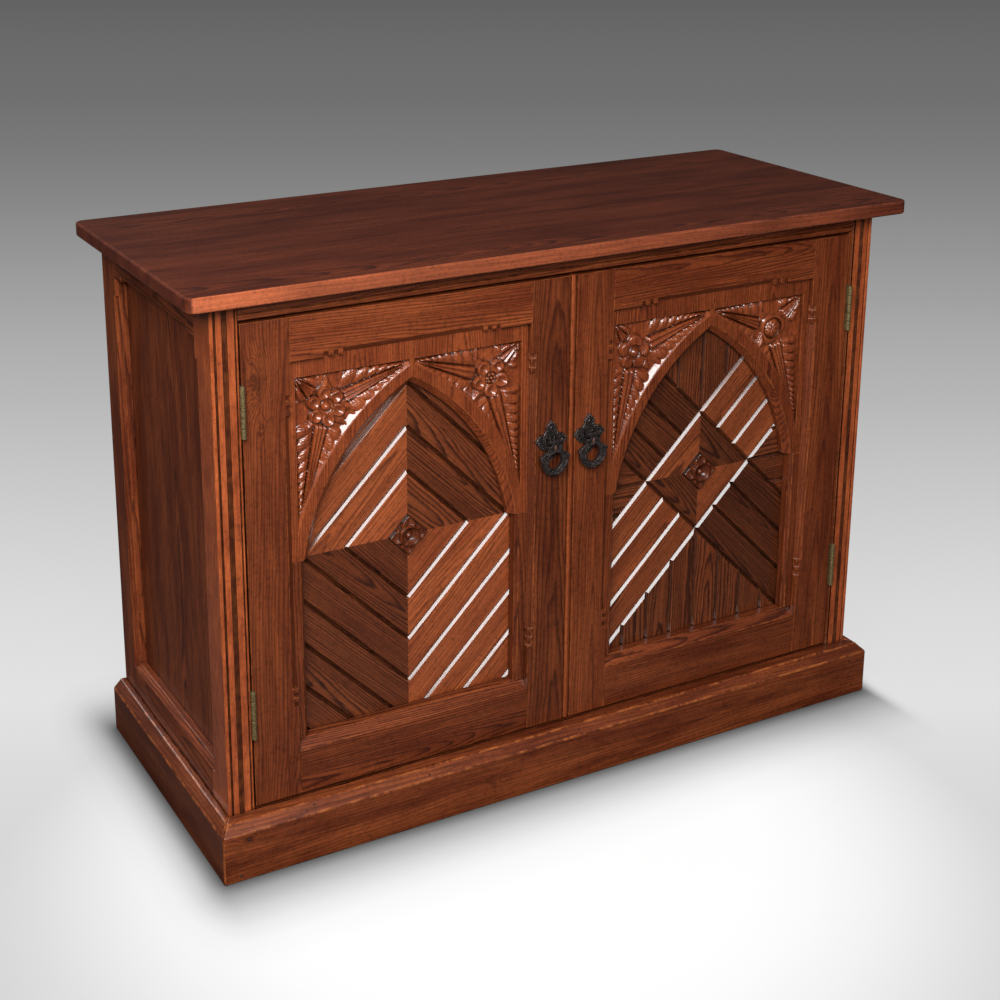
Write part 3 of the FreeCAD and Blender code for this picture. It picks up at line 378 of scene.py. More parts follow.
def wood(name, light, dark, worn, contrast, gloss, spacing_share, rub, coat, mottle, dull):
    sizes = settings()[0]
    material, net, shader = principled(name)
    grain = net.add("Attribute", attribute_name="grain").outputs["Vector"]
    tone, arris, groove, bare = (
        net.add("Attribute", attribute_name=each).outputs["Fac"]
        for each in ("tone", "arris", "groove", "bare")
    )
    figure = net.add("Group", node_tree=bpy.data.node_groups["Wood figure"])
    net.link(grain, figure.inputs["Grain"])
    figure.inputs["Spacing"].default_value = sizes.ring_spacing * spacing_share
    figure.inputs["Wander"].default_value = sizes.ring_wander
    wear = net.add("Group", node_tree=bpy.data.node_groups["Wear"])
    net.link(grain, wear.inputs["Grain"])
    net.link(arris, wear.inputs["Arris"])
    wear.inputs["Amount"].default_value = rub
    redder = (light[0] * 0.62, light[1] * 0.5, light[2] * 0.5)
    paler = tuple(1.18 * part for part in light)
    half_step = 0.22 / mottle
    patches = net.ramp(wear.outputs["Patches"], [(0.5 - half_step, 0.0), (0.5 + half_step, 1.0)])
    base = net.mix(patches, redder, paler)
    strength = net.math("MINIMUM", net.math("MULTIPLY_ADD", tone, -1.5 * contrast, contrast), 1.0)
    colour = net.mix(net.math("MULTIPLY", figure.outputs["Rings"], strength), base, dark)
    # The top's front edge takes the worn colour, which also carries a painted sheen, brightest at the left.
    colour = net.mix(bare, colour, worn)
    fibre = net.ramp(figure.outputs["Fibre"], [(0.3, 0.5), (0.7, 1.5)])
    colour = net.mix(1.0, colour, fibre, "MULTIPLY")
    specks = net.ramp(wear.outputs["Specks"], [(0.3, 0.7), (0.45, 1.0), (0.72, 1.15)])
    colour = net.mix(1.0, colour, specks, "MULTIPLY")
    # Tone, times painted shade in the marked recesses; on the boards the tone also holds a painted sheen.
    level = net.math("MULTIPLY", net.math("ADD", tone, 1.0), net.math("MULTIPLY_ADD", groove, -0.8, 1.0))
    # Painted shade and grime in the corners where pieces meet.
    level = net.math("MULTIPLY", level, corner_shade_and_grime(net, 0.006, 0.38))
    knots = net.math("MINIMUM", figure.outputs["Knots"], 0.85)
    level = net.math("MULTIPLY", level, net.math("SUBTRACT", 1.0, knots))
    level = net.add("CombineColor", {0: level, 1: level, 2: level}).outputs[0]
    colour = net.mix(1.0, colour, level, "MULTIPLY")
    net.link(net.mix(wear.outputs["Rubbed"], colour, worn), shader.inputs["Base Color"])
    rough = net.math("MULTIPLY_ADD", figure.outputs["Fibre"], 0.25, gloss)
    net.link(net.math("MULTIPLY_ADD", arris, dull, rough), shader.inputs["Roughness"])
    bump = net.add("Bump", {"Height": figure.outputs["Height"], "Distance": 0.0001, "Strength": 0.5})
    net.link(bump.outputs[0], shader.inputs["Normal"])
    for socket, value in (("Specular IOR Level", 0.3), ("Coat Weight", coat), ("Coat Roughness", 0.12)):
        shader.inputs[socket].default_value = value


def metal(name, colour, rough, spread, metallic, deepest):
    material, net, shader = principled(name)
    place = net.add("TexCoord").outputs["Object"]
    speckle = net.noise(net.vector("SCALE", place, 400.0), 4.0).outputs["Fac"]
    shade = net.ramp(speckle, [(0.3, 1.0 - spread), (0.7, 1.0 + spread)])
    # Painted shade and grime in the metal's hollows.
    shade = net.mix(1.0, shade, corner_shade_and_grime(net, 0.004, deepest), "MULTIPLY")
    net.link(net.mix(1.0, colour, shade, "MULTIPLY"), shader.inputs["Base Color"])
    net.link(net.math("MULTIPLY_ADD", speckle, 0.3, rough), shader.inputs["Roughness"])
    bump = net.add("Bump", {"Height": speckle, "Distance": 0.0005, "Strength": 0.7})
    net.link(bump.outputs[0], shader.inputs["Normal"])
    shader.inputs["Metallic"].default_value = metallic


# Woods: early wood, late wood and worn places (the top's also with painted sheen); then how strong the rings
# show, roughness, ring spacing, rubbing of the arrises, coat, how mottled the wood is and how much rougher
# its arrises are.
WOODS = (
    ("Varnished frame", "frame_light", "frame_dark", "worn", 0.5, 0.25, 1.0, 0.6, 0.4, 1.5, 0.0),
    ("Varnished rails", "frame_light", "frame_dark", "worn", 0.8, 0.25, 0.8, 0.6, 0.4, 1.5, 0.0),
    ("Varnished plinth", "frame_light", "frame_dark", "worn", 0.4, 0.3, 1.3, 0.9, 0.3, 2.2, 0.0),
    ("Varnished sides", "frame_light", "frame_dark", "worn", 0.9, 0.35, 1.2, 0.5, 0.1, 2.6, 0.0),
    ("Varnished posts", "frame_light", "frame_dark", "worn", 7.0, 0.25, 1.7, 0.6, 0.6, 1.0, 0.0),
    ("Varnished arches", "frame_light", "frame_dark", "worn", 0.85, 0.25, 0.75, 0.6, 0.3, 1.0, 0.0),
    ("Varnished carving", "frame_light", "frame_dark", "worn", 0.5, 0.2, 0.6, 0.8, 1.0, 1.0, 0.0),
    ("Varnished boards", "board_light", "board_dark", "worn", 0.85, 0.25, 0.75, 0.6, 0.8, 1.0, 0.0),
    ("Varnished top", "top_light", "top_dark", "faded", 0.95, 0.42, 0.6, 0.1, 0.0, 1.8, 0.45),
    ("Bare pine", "inside_light", "inside_dark", "inside_light", 0.8, 0.6, 1.2, 0.3, 0.0, 1.0, 0.0),
)
# Metals: colour and share of it; then roughness, how speckled, how metallic and how dark the painted shade
# and grime in their hollows are.
METALS = (
    ("Dull brass", "brass", 1.0, 0.4, 0.5, 0.7, 0.25),
    ("Black iron", "iron", 1.0, 0.16, 0.75, 0.85, 0.08),
    ("Rusty nails", "iron", 0.3, 0.45, 0.4, 0.3, 0.25),
    ("Worn copper", "copper", 1.0, 0.35, 0.3, 0.4, 0.25),
)


def make_materials():
    colours = settings()[1]
    figure_group()
    wear_group()
    for name, light, dark, worn, *looks in WOODS:
        wood(name, *(getattr(colours, each) for each in (light, dark, worn)), *looks)
    for name, colour, share, *looks in METALS:
        metal(name, tuple(share * part for part in getattr(colours, colour)), *looks)


# Meshes

def lift(node, sort=None):
    """A cleaned copy of a CAD node's mesh; faces that sort differently stay apart."""
    shape = bmesh.new()
    shape.from_mesh(frame["nodes"][node].data)
    groups = {}
    for face in shape.faces:
        key = sort(face.calc_center_median(), face.normal) if sort else None
        groups.setdefault(key, set()).update(face.verts)
    for verts in groups.values():
        bmesh.ops.remove_doubles(shape, verts=sorted(verts, key=lambda vert: vert.index), dist=TOUCHING)
    bmesh.ops.dissolve_limit(shape, angle_limit=math.radians(0.5), verts=shape.verts, edges=shape.edges)
    bmesh.ops.recalc_face_normals(shape, faces=shape.faces)
    return shape


def face_layer(shape, name):
    return shape.faces.layers.float.get(name) or shape.faces.layers.float.new(name)


def round_edges(shape, edges, width, segments, **rest):
    return bmesh.ops.bevel(shape, geom=edges, offset=width, offset_type="OFFSET", segments=segments,
                           profile=0.5, affect="EDGES", **rest)


def soften(shape, width, spared=None, segments=2):
    """Rounds the sharp edges, apart from a spared face's, and marks the faces that this makes."""
    arris = face_layer(shape, "arris")
    sharp = [
        edge for edge in shape.edges
        if edge.is_manifold and edge.calc_face_angle(0.0) > math.radians(28)
        and not (spared and any(spared(face) for face in edge.link_faces))
    ]
    for face in round_edges(shape, sharp, width, segments, clamp_overlap=False, loop_slide=True)["faces"]:
        face[arris] = 1.0


def mark_shaded_recesses(shape, chosen, shade_level=1.0):
    """Marks the faces that get painted shade in their recess."""
    groove = face_layer(shape, "groove")
    for face in shape.faces:
        if chosen(face):
            face[groove] = shade_level


def cut(shape, place, normal):
    """Divides the faces along a plane, and takes nothing away."""
    bmesh.ops.bisect_plane(shape, geom=shape.verts[:] + shape.edges[:] + shape.faces[:], plane_co=place,
                           plane_no=normal, dist=TOUCHING)


def batter(shape, axis, pitch, depth, chosen, seed):
    """Dents the chosen arrises inward at uneven steps along an axis."""
    draw = random.Random(seed)
    low = min(vert.co[axis] for vert in shape.verts)
    high = max(vert.co[axis] for vert in shape.verts)
    inward = sum((vert.co for vert in shape.verts), Vector()) / len(shape.verts)
    normal = Vector((axis == 0, axis == 1, axis == 2))
    at = low + pitch
    while at < high - pitch / 2:
        cut(shape, normal * (at + draw.uniform(-0.3, 0.3) * pitch), normal)
        at += pitch
    for vert in sorted(shape.verts, key=lambda vert: tuple(vert.co)):
        if low + pitch / 2 < vert.co[axis] < high - pitch / 2 and chosen(vert.co):
            toward = inward - vert.co
            toward[axis] = 0
            vert.co += toward.normalized() * depth * draw.random() ** 2


def islands(shape):
    left = set(shape.verts)
    while left:
        start = left.pop()
        found = [start]
        waiting = [start]
        while waiting:
            for edge in waiting.pop().link_edges:
                for other in edge.verts:
                    if other in left:
                        left.discard(other)
                        found.append(other)
                        waiting.append(other)
        yield found


def run_grain(shape, choose, seed, heart=None):
    """Writes where each point lies in its board's plank; over the plank's heart the grain flames."""
    grain = shape.verts.layers.float_vector.new("grain")
    tone = shape.verts.layers.float.new("tone")
    draw = random.Random(seed)
    shape.verts.index_update()
    groups = sorted(islands(shape), key=lambda group: min(vert.index for vert in group))
    for group in groups:
        middle = sum((vert.co for vert in group), Vector()) / len(group)
        name, shade = choose(middle)
        along, across, behind = GRAINS[name]
        aside = draw.uniform(0.006, 0.045) * draw.choice((-1, 1))
        start = Vector((draw.uniform(0, 9), aside, draw.uniform(0.012, 0.05)))
        if heart:
            start = Vector((start.x, 0, HEART_DEPTH))
        shade += draw.uniform(-0.08, 0.08)
        for vert in group:
            offset = vert.co - (heart or middle)
            run = offset.dot(along) * (HEART_RUN if heart else 1)
            vert[grain] = start + Vector((run, offset.dot(across), offset.dot(behind)))
            vert[tone] = shade


def put(shape, name, material, smooth=50):
    """Makes an object of a shape; faces that meet at less than the angle are smooth."""
    mesh = bpy.data.meshes.new(name)
    shape.to_mesh(mesh)
    shape.free()
    for each in (material,) if isinstance(material, str) else material:
        mesh.materials.append(bpy.data.materials[each])
    piece = bpy.data.objects.new(name, mesh)
    bpy.context.scene.collection.objects.link(piece)
    for face in mesh.polygons:
        face.use_smooth = True
    mesh.set_sharp_from_angle(angle=math.radians(smooth))
    even = piece.modifiers.new("even normals", "WEIGHTED_NORMAL")
    even.keep_sharp = True
    even.weight = 100
    return piece


def settle(piece, node):
    """Hands a piece over: it moves with its node's body and stands for that node."""
    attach(piece, frame["nodes"][node]["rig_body"])
    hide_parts(node)


def settle_on(piece, node):
    """Hands over a piece that no node stands for: it moves with the body of the node that carries it."""
    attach(piece, frame["nodes"][node]["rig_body"])


def dress(node, grain, material, tone=0.0, width=None, sort=None, heart=None, spared=None, first=None,
          last=None):
    """A worn wooden piece in the place of a plain CAD node."""
    shape = lift(node, sort)
    if first:
        first(shape)
    soften(shape, width or settings()[0].softening, spared)
    low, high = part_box(node)
    for vert in shape.verts:
        vert.co = [min(max(vert.co[axis], low[axis]), high[axis]) for axis in range(3)]
    if last:
        last(shape)
    run_grain(shape, (lambda middle: (grain, tone)) if isinstance(grain, str) else grain, node, heart)
    settle(put(shape, node + "_wood", material), node)


def dress_all(rows):
    for row in rows:
        dress(*row)


# Pieces

# Where the top's front edge has lost its varnish and carries a painted sheen, from left to right.
FADED_AND_SHEEN = (
    (0, 1), (0.09, 0.95), (0.14, 0.52), (0.21, 0.6), (0.28, 0.45), (0.4, 0.45), (0.5, 0.5), (0.56, 0.32),
    (0.62, 0.38), (0.7, 0.25), (0.78, 0.12), (0.85, 0.3), (0.92, 0.15), (1, 0),
)


def top():
    """Two boards, rounded all round; the front edge has lost its varnish and carries a painted sheen, both
    most at the left.
    """
    rounding = 0.0032
    corner_radius = 0.014
    joint = (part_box("top_front_board")[1].y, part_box("top_back_board")[0].y)

    def at_joint(face):
        return any(all(abs(vert.co.y - line) < NEAR for vert in face.verts) for line in joint)

    for node, tone in (("top_front_board", 0.0), ("top_back_board", 0.05)):
        low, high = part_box(node)
        shape = bmesh.new()
        bmesh.ops.create_cube(shape, size=1)
        for vert in shape.verts:
            vert.co = [high[axis] if vert.co[axis] > 0 else low[axis] for axis in range(3)]
        corners = [
            edge for edge in shape.edges
            if abs(edge.verts[0].co.z - edge.verts[1].co.z) > NEAR
            and not any(at_joint(face) for face in edge.link_faces)
        ]
        round_edges(shape, corners, corner_radius, 5)
        soften(shape, rounding, at_joint, 4)
        if node == "top_front_board":
            bare = shape.verts.layers.float.new("bare")
            places, shares = zip(*FADED_AND_SHEEN)
            for share in places[1:-1]:
                cut(shape, (low.x + (high.x - low.x) * share, 0, 0), X)
            for vert in shape.verts:
                if vert.co.y < low.y + 0.7 * rounding and vert.co.z < high.z - NEAR:
                    vert[bare] = float(np.interp((vert.co.x - low.x) / (high.x - low.x), places, shares))
        run_grain(shape, lambda middle: ("top", tone), node)
        settle(put(shape, node + "_wood", "Varnished top"), node)


def posts():
    heart_inset = 0.012
    for side in ("left", "right"):
        node = f"front_post_{side}"
        low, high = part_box(node)
        front = low.y
        inner = high.x - heart_inset if side == "left" else low.x + heart_inset
        heart = Vector((inner, front, (low.z + high.z) / 2))

        def in_quirk(face):
            depth = face.calc_center_median().y - front
            return 0.0008 < depth < 0.004 and (abs(face.normal.x) > 0.5 or depth > 0.002)

        # The quirks between the reeds get painted shade.
        dress(node, "upright", "Varnished posts", 0.6, FINE_ARRIS, None, heart,
              last=lambda shape: mark_shaded_recesses(shape, in_quirk))
        dress(f"rear_post_{side}", "side upright", "Varnished sides")


def side_frames():
    for side in ("left", "right"):
        dress_all([
            (f"{side}_side_top_rail", "side level", "Varnished sides", -0.1),
            (f"{side}_side_bottom_rail", "side level", "Varnished sides", 0.0),
            (f"{side}_side_panel", "side upright", "Varnished sides", -0.1),
        ])


# The plinth's chamfer: how deep and how high.
CHAMFER_DEPTH = 13.5
CHAMFER_RISE = 14


def plinth():
    """Three boards, mitred at the front, with bruised and rounded arrises."""
    tone = -0.22
    rounding = 0.0022
    bruise_pitch = 0.021
    bruise_depth = 0.0012
    for node, grain, axis in (
        ("plinth_front", "level", 0), ("plinth_left", "side level", 1), ("plinth_right", "side level", 1),
    ):
        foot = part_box(node)[1].z - (CHAMFER_RISE + 0.5) * MM

        def mitred(face):
            return abs(face.normal.z) < 0.1 and abs(abs(face.normal.x) - abs(face.normal.y)) < 0.2

        def bruise(shape):
            batter(shape, axis, bruise_pitch, bruise_depth, lambda place: place.z > foot, node)

        dress(node, grain, "Varnished plinth", tone, rounding, spared=mitred, first=bruise)
    dress("front_top_rail", "level", "Varnished rails", 0.0, CRISP_ARRIS)


def floor_board():
    """Bare inside, but varnished where it shows under the doors."""
    node = "bottom_board"
    shape = lift(node)
    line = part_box("left_door_hinge_stile")[1].y
    cut(shape, (0, line, 0), Y)
    for face in shape.faces:
        face.material_index = int(face.calc_center_median().y < line)
    run_grain(shape, lambda middle: ("top", -0.4), node)
    settle(put(shape, node + "_wood", ("Bare pine", "Varnished frame")), node)


def inside():
    dress("front_bottom_rail", "level", "Varnished frame", -0.6)
    dress_all([(node, "level", "Bare pine") for node in ("plinth_back", "back_top_rail", "door_stop")])
    dress("shelf", "top", "Bare pine")
    dress("back_boards", "upright", "Bare pine", -0.1)
    dress("shelf_bearers", "side level", "Bare pine")
    floor_board()


def door_frames():
    for side, meeting, head, arch in (("left", -0.31, -0.08, 0.12), ("right", -0.22, -0.13, 0.0)):
        dress_all([
            (f"{side}_door_hinge_stile", "upright", "Varnished frame", -0.15),
            (f"{side}_door_meeting_stile", "upright", "Varnished frame", meeting),
            (f"{side}_door_top_rail", "level", "Varnished rails", head),
            (f"{side}_door_bottom_rail", "level", "Varnished rails", -0.2),
            (f"{side}_door_jamb_west", "upright", "Varnished frame", -0.25),
            (f"{side}_door_jamb_east", "upright", "Varnished frame", -0.3),
            (f"{side}_door_arch_west", "upright", "Varnished arches", arch),
            (f"{side}_door_arch_east", "upright", "Varnished arches", arch),
            (f"{side}_door_back_beads", "upright", "Bare pine", 0.0),
        ])
    dress("right_door_meeting_bead", "upright", "Varnished frame", 0.25, CRISP_ARRIS)


def rosette_middle(side):
    low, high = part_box(f"{side}_door_rosette")
    return (low + high) / 2


def quarter_sorter(side):
    """Tells in which quarter round the rosette a face lies."""
    centre = rosette_middle(side)

    def sort(middle, normal):
        east = middle.x - centre.x if abs(middle.x - centre.x) > NEAR else -normal.x
        up = middle.z - centre.z if abs(middle.z - centre.z) > NEAR else -normal.z
        return east > 0, up > 0

    return sort


def board_chooser(side, kind):
    """Boards run along the sides of the lozenges, and the saltire's out from them."""
    centre = rosette_middle(side)
    # Painted sheen: rising boards lighter, falling boards darker; the last value is the tone of the straight
    # boards.
    light, falling_shade, plain_tone = {"left": (0.21, -0.38, 0.0), "right": (0.0, -0.58, -0.4)}[side]

    def choose(middle):
        offset = middle - centre
        same = offset.x * offset.z > 0
        if kind == "straight":
            return ("upright", plain_tone) if abs(offset.z) > abs(offset.x) else ("level", plain_tone)
        rises = same if kind == "saltire" else not same
        return ("rising", light) if rises else ("falling", falling_shade)

    return choose


def boards():
    for node, side, kind in (
        ("left_door_upper_boards", "left", "lozenge"), ("left_door_lower_boards", "left", "lozenge"),
        ("right_door_lozenge_boards", "right", "lozenge"), ("right_door_saltire_boards", "right", "saltire"),
        ("right_door_straight_boards", "right", "straight"),
    ):
        sort = None if kind == "straight" else quarter_sorter(side)
        # The sloped vee faces between the boards get painted shade.
        dress(node, board_chooser(side, kind), "Varnished boards", 0.0, FINE_ARRIS, sort,
              first=lambda shape: mark_shaded_recesses(shape, lambda face: -0.9 < face.normal.y < -0.3, 0.6))


def dome(away, radius, high):
    """A ball's cap: its height at each distance from its middle."""
    return high * np.sqrt(np.clip(1 - (away / radius) ** 2, 0, None))


# Heights of the carving are worked out in millimetres, over u outward and v upward.

def fan(u, v, tip, toward, half_angle, reach, ribs, pitch, high, lean, rib_share):
    """Ribs that run together in a tip, with a lobed leaf along either side."""
    leaf_share = rib_share + 0.06
    axis = math.atan2(toward[1] - tip[1], toward[0] - tip[0])
    far = np.hypot(u - tip[0], v - tip[1])
    turn = np.arctan2(v - tip[1], u - tip[0]) - axis
    turn = (np.mod(turn + math.pi, 2 * math.pi) - math.pi) / half_angle
    side = np.abs(turn)
    beat = np.cos(math.pi * ribs * turn / rib_share + math.pi * (ribs + 1))
    rib = np.where(side < rib_share, high * (0.8 + 0.2 * beat), 0)
    lobe = np.abs(np.sin(math.pi * (far / (pitch * (0.5 + 0.4 * far / reach)) + lean * side)))
    edge = 0.7 + 0.3 * np.sqrt(lobe)
    across = np.clip((side - leaf_share) / (edge - leaf_share), 0, 1)
    dents = 1 - 0.14 * np.abs(np.sin(far * 0.62 + 5 * side) * np.sin(far * side * 0.45))
    leaf = high * np.sin(math.pi * (0.05 + 0.95 * across)) ** 0.6 * (0.45 + 0.55 * lobe ** 0.5) * dents
    leaf = np.where((side > leaf_share) & (across < 1), leaf, 0)
    ends = np.clip(far / 12, 0.25, 1) * np.clip((reach - far) / 5, 0, 1)
    return np.maximum(rib, leaf) * ends


def bract(u, v, root, direction, length, width, high):
    """A pointed leaf with a ridge along it and hollow sides."""
    along = ((u - root[0]) * math.cos(direction) + (v - root[1]) * math.sin(direction)) / length
    off = np.abs(-(u - root[0]) * math.sin(direction) + (v - root[1]) * math.cos(direction))
    half = width * np.clip(1 - along, 0, 1) ** 0.8
    inside = (along > 0) & (along < 1) & (off < half)
    share = np.clip(off / np.maximum(half, 1e-6), 0, 1)
    return np.where(inside, high * (0.55 + 0.45 * (1 - share) ** 1.5), 0)


def petals(u, v, centre, count, radius, high, start, cup):
    """Rounded petals side by side, hollowed towards the middle."""
    far = np.hypot(u - centre[0], v - centre[1])
    angle = np.arctan2(v - centre[1], u - centre[0]) - start
    beat = np.abs(np.cos(count * angle / 2))
    edge = radius * (0.6 + 0.4 * beat ** 0.7)
    share = far / edge
    rise = high * (1 - cup + cup * np.clip(share, 0, 1) ** 2) * (0.5 + 0.5 * beat ** 0.4)
    aside = np.mod(angle + math.pi / count, 2 * math.pi / count) - math.pi / count
    hollow = np.hypot(far * np.cos(aside) - 0.68 * radius, far * np.sin(aside) * 1.2) / (0.27 * radius)
    rise = rise - 0.42 * high * np.clip(1 - hollow ** 2, 0, 1)
    rim = np.clip((1 - share) * edge / 1.8, 0, 1)
    return np.where(share < 1, rise * np.sqrt(rim), 0)


def star_flower(u, v, centre):
    """Six hollowed petals round a ball."""
    far = np.hypot(u - centre[0], v - centre[1])
    high = petals(u, v, centre, 6, 31, 10.5, 0.4, 0.35)
    high = np.where(far < 12.5, np.minimum(high, 0.5 + 0.2 * far), high)
    return np.maximum(high, dome(far, 7, 10.5))


def berry_flower(u, v, centre):
    """Five round petals round a cluster of seven berries."""
    high = petals(u, v, centre, 5, 31, 10, -0.3, 0.35)
    far = np.hypot(u - centre[0], v - centre[1])
    high = np.where(far < 10, np.minimum(high, 3.5), high)
    for index in range(7):
        turn = index * math.pi / 3
        ring = 6.2 if index else 0.0
        away = np.hypot(u - centre[0] - ring * math.cos(turn), v - centre[1] - ring * math.sin(turn))
        high = np.maximum(high, np.where(away < 3, 4 + dome(away, 3, 5), 0))
    return high


def broad_flower(u, v, centre):
    """Five broad petals, each over the next, round a large ball."""
    far = np.hypot(u - centre[0], v - centre[1])
    angle = np.arctan2(v - centre[1], u - centre[0])
    turn = np.mod(angle * 5 / (2 * math.pi) + 0.2, 1)
    edge = 29 * (0.68 + 0.32 * np.sin(math.pi * turn) ** 0.6)
    share = far / edge
    rise = 4.5 + 5.5 * turn * np.clip(share * 1.4, 0, 1)
    high = np.where(share < 1, rise * np.sqrt(np.clip((1 - share) * edge / 2.5, 0, 1)), 0)
    high = np.where(far < 12.5, np.minimum(high, 2 + 0.15 * far), high)
    return np.maximum(high, dome(far, 9, 11))


def rose_bud(u, v, centre):
    """A fluted bud inside a curled leaf."""
    far = np.hypot(u - centre[0], v - centre[1])
    angle = np.arctan2(v - centre[1], u - centre[0])
    collar = 25 + 3.5 * np.sin(angle * 3 + 0.8)
    high = np.where(far < collar, 7 * np.sqrt(np.clip((collar - far) / 5, 0, 1)), 0)
    high = np.where(far < 18.5, 2, high)
    off = np.hypot(u - centre[0] + 7, v - centre[1] - 3)
    flutes = np.abs(np.cos(np.arctan2(v - centre[1] - 3, u - centre[0] + 7) * 5))
    bud = dome(far, 16.5, 11) * (0.74 + 0.26 * flutes ** 0.6 * np.clip(off / 8, 0, 1))
    high = np.maximum(high, bud)
    return np.maximum(high, dome(off, 4, 10.5))


# Each corner: how far its flower's middle is from the door's middle, the flower, the ribs of its fans,
# the pitch and lean of their leaves, and the directions of its single leaves.
CORNERS = {
    ("left", "west"): (138, star_flower, 3, 21.0, 1.2, (1.62, 3.3, 3.95, -0.8)),
    ("left", "east"): (134, berry_flower, 2, 17.0, 0.8, (2.25, 3.95)),
    ("right", "west"): (149, broad_flower, 2, 18.0, 1.3, (3.95,)),
    ("right", "east"): (127, rose_bud, 3, 16.0, 0.9, (2.3, 3.95)),
}
FLOWER_HEIGHT = 698
FLOWER_GAP = 27
LEAF_LENGTH = 46
LEAF_WIDTH = 17
LEAF_HEIGHT = 6.5
# The sunk ground that the carving lies in; below, an arc closes it.
RECESS_IN = 4
RECESS_OUT = 186.75
RECESS_TOP = 749.2
RECESS_FOOT = 512
ARCH_MIDDLE = (-171, 412)
RECESS_RADIUS = 372
CARVED_DEPTH = 8
WALL_RUN = 8
# Fans: place of the tip, half angle in degrees, share of the pitch, height and share that the ribs take.
FANS = (
    ((RECESS_IN + 1, RECESS_TOP - 5), 26, 0.8, 7.2, 0.2),
    ((RECESS_OUT - 2, RECESS_FOOT + 4), 17, 0.7, 7.0, 0.21),
    ((RECESS_OUT - 1, RECESS_TOP - 1), 43, 1.0, 6.4, 0.3),
)


def corner_height(u, v, key):
    """How far the carving of one corner stands in front of its ground."""
    middle, flower, ribs, pitch, lean, leaves = CORNERS[key]
    centre = (middle, FLOWER_HEIGHT)
    away = np.hypot(u - ARCH_MIDDLE[0], v - ARCH_MIDDLE[1]) - RECESS_RADIUS
    clear = np.clip(away / WALL_RUN, 0, 1)
    high = 0.4 + 7.1 * (1 - clear) + 0.3 * clear * np.sin(u * 0.55) * np.cos(v * 0.47 + u * 0.2)
    for tip, degrees, pitch_share, tall, rib_share in FANS:
        half_angle = math.radians(degrees)
        reach = math.dist(tip, centre) - FLOWER_GAP
        rays = fan(u, v, tip, centre, half_angle, reach, ribs, pitch_share * pitch, tall, lean, rib_share)
        high = np.maximum(high, rays)
    for direction in leaves:
        high = np.maximum(high, bract(u, v, centre, direction, LEAF_LENGTH, LEAF_WIDTH, LEAF_HEIGHT))
    bloom = flower(u, v, centre)
    far = np.hypot(u - centre[0], v - centre[1])
    high = np.where(bloom > 0, bloom, np.where(far < 30, np.minimum(high, 5.5), high))
    rough = 0.12 * clear * np.sin(u * 1.1 + 1.3 * np.sin(v * 0.5)) * np.sin(v * 0.9 + np.sin(u * 0.6))
    return np.where(away < 0, 7.5, np.maximum(high + rough, 0.2))


def hollows(heights):
    """How far each point lies below its surroundings, from 0 to 1."""
    reach = 4
    deepest = 3.5
    steps = range(2 * reach + 1)
    rows, columns = heights.shape
    padded = np.pad(heights, reach, mode="edge")
    around = sum(padded[down:down + rows, right:right + columns] for down in steps for right in steps)
    return np.clip((around / len(steps) ** 2 - heights) / deepest, 0, 1)


def slab(name, spots, heights, keep, back, material, tone, shade_level):
    """A carved surface over a grid, closed round its edge and behind."""
    rows, columns = heights.shape
    used = np.zeros((rows, columns), bool)
    for down in (0, 1):
        for right in (0, 1):
            used[down:rows - 1 + down, right:columns - 1 + right] |= keep
    index = np.full((rows, columns), -1)
    index[used] = np.arange(used.sum())
    corners = list(zip(*(axis[used] for axis in spots(heights))))
    faces = np.stack([index[:-1, :-1], index[:-1, 1:], index[1:, 1:], index[1:, :-1]], -1)[keep]
    mesh = bpy.data.meshes.new(name)
    mesh.from_pydata(corners, [], faces.tolist())
    shape = bmesh.new()
    shape.from_mesh(mesh)
    bpy.data.meshes.remove(mesh)
    groove = shape.verts.layers.float.new("groove")
    # Hollows of the carving, and any given band, get painted shade.
    for vert, share in zip(shape.verts, np.maximum(hollows(heights), shade_level)[used]):
        vert[groove] = float(share)
    rim = [edge for edge in shape.edges if edge.is_boundary]
    for item in bmesh.ops.extrude_edge_only(shape, edges=rim)["geom"]:
        if isinstance(item, bmesh.types.BMVert):
            item.co.y = back
    rim = [edge for edge in shape.edges if edge.is_boundary]
    bmesh.ops.holes_fill(shape, edges=rim, sides=0)
    bmesh.ops.recalc_face_normals(shape, faces=shape.faces)
    run_grain(shape, lambda middle: ("upright", tone), name)
    return put(shape, name, material, smooth=70)


def corner_carving(side, place):
    """The flower, ribs and leaves in one corner above an arch."""
    node = f"{side}_door_arch_{place}"
    low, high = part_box(f"{side}_door_rosette")
    door_middle = (low.x + high.x) / 2 / MM
    sign = -1 if place == "west" else 1
    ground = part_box(node)[0].y / MM + CARVED_DEPTH
    step = 1.0
    u, v = np.meshgrid(np.arange(RECESS_IN - step, RECESS_OUT + step * 1.5, step),
                       np.arange(RECESS_FOOT, RECESS_TOP + step * 1.5, step))
    heights = corner_height(u, v, (side, place))
    middle_u = (u[:-1, :-1] + u[1:, 1:]) / 2
    middle_v = (v[:-1, :-1] + v[1:, 1:]) / 2
    away = np.hypot(middle_u - ARCH_MIDDLE[0], middle_v - ARCH_MIDDLE[1])
    keep = away > RECESS_RADIUS - 2.5 * step

    def spots(level):
        return (door_middle + sign * u) * MM, (ground - level) * MM, v * MM

    name = f"{side}_{place}_carving"
    piece = slab(name, spots, heights, keep, (ground + 1) * MM, "Varnished carving", 0.22, 0)
    settle_on(piece, node)


def carvings():
    for side, place in CORNERS:
        corner_carving(side, place)


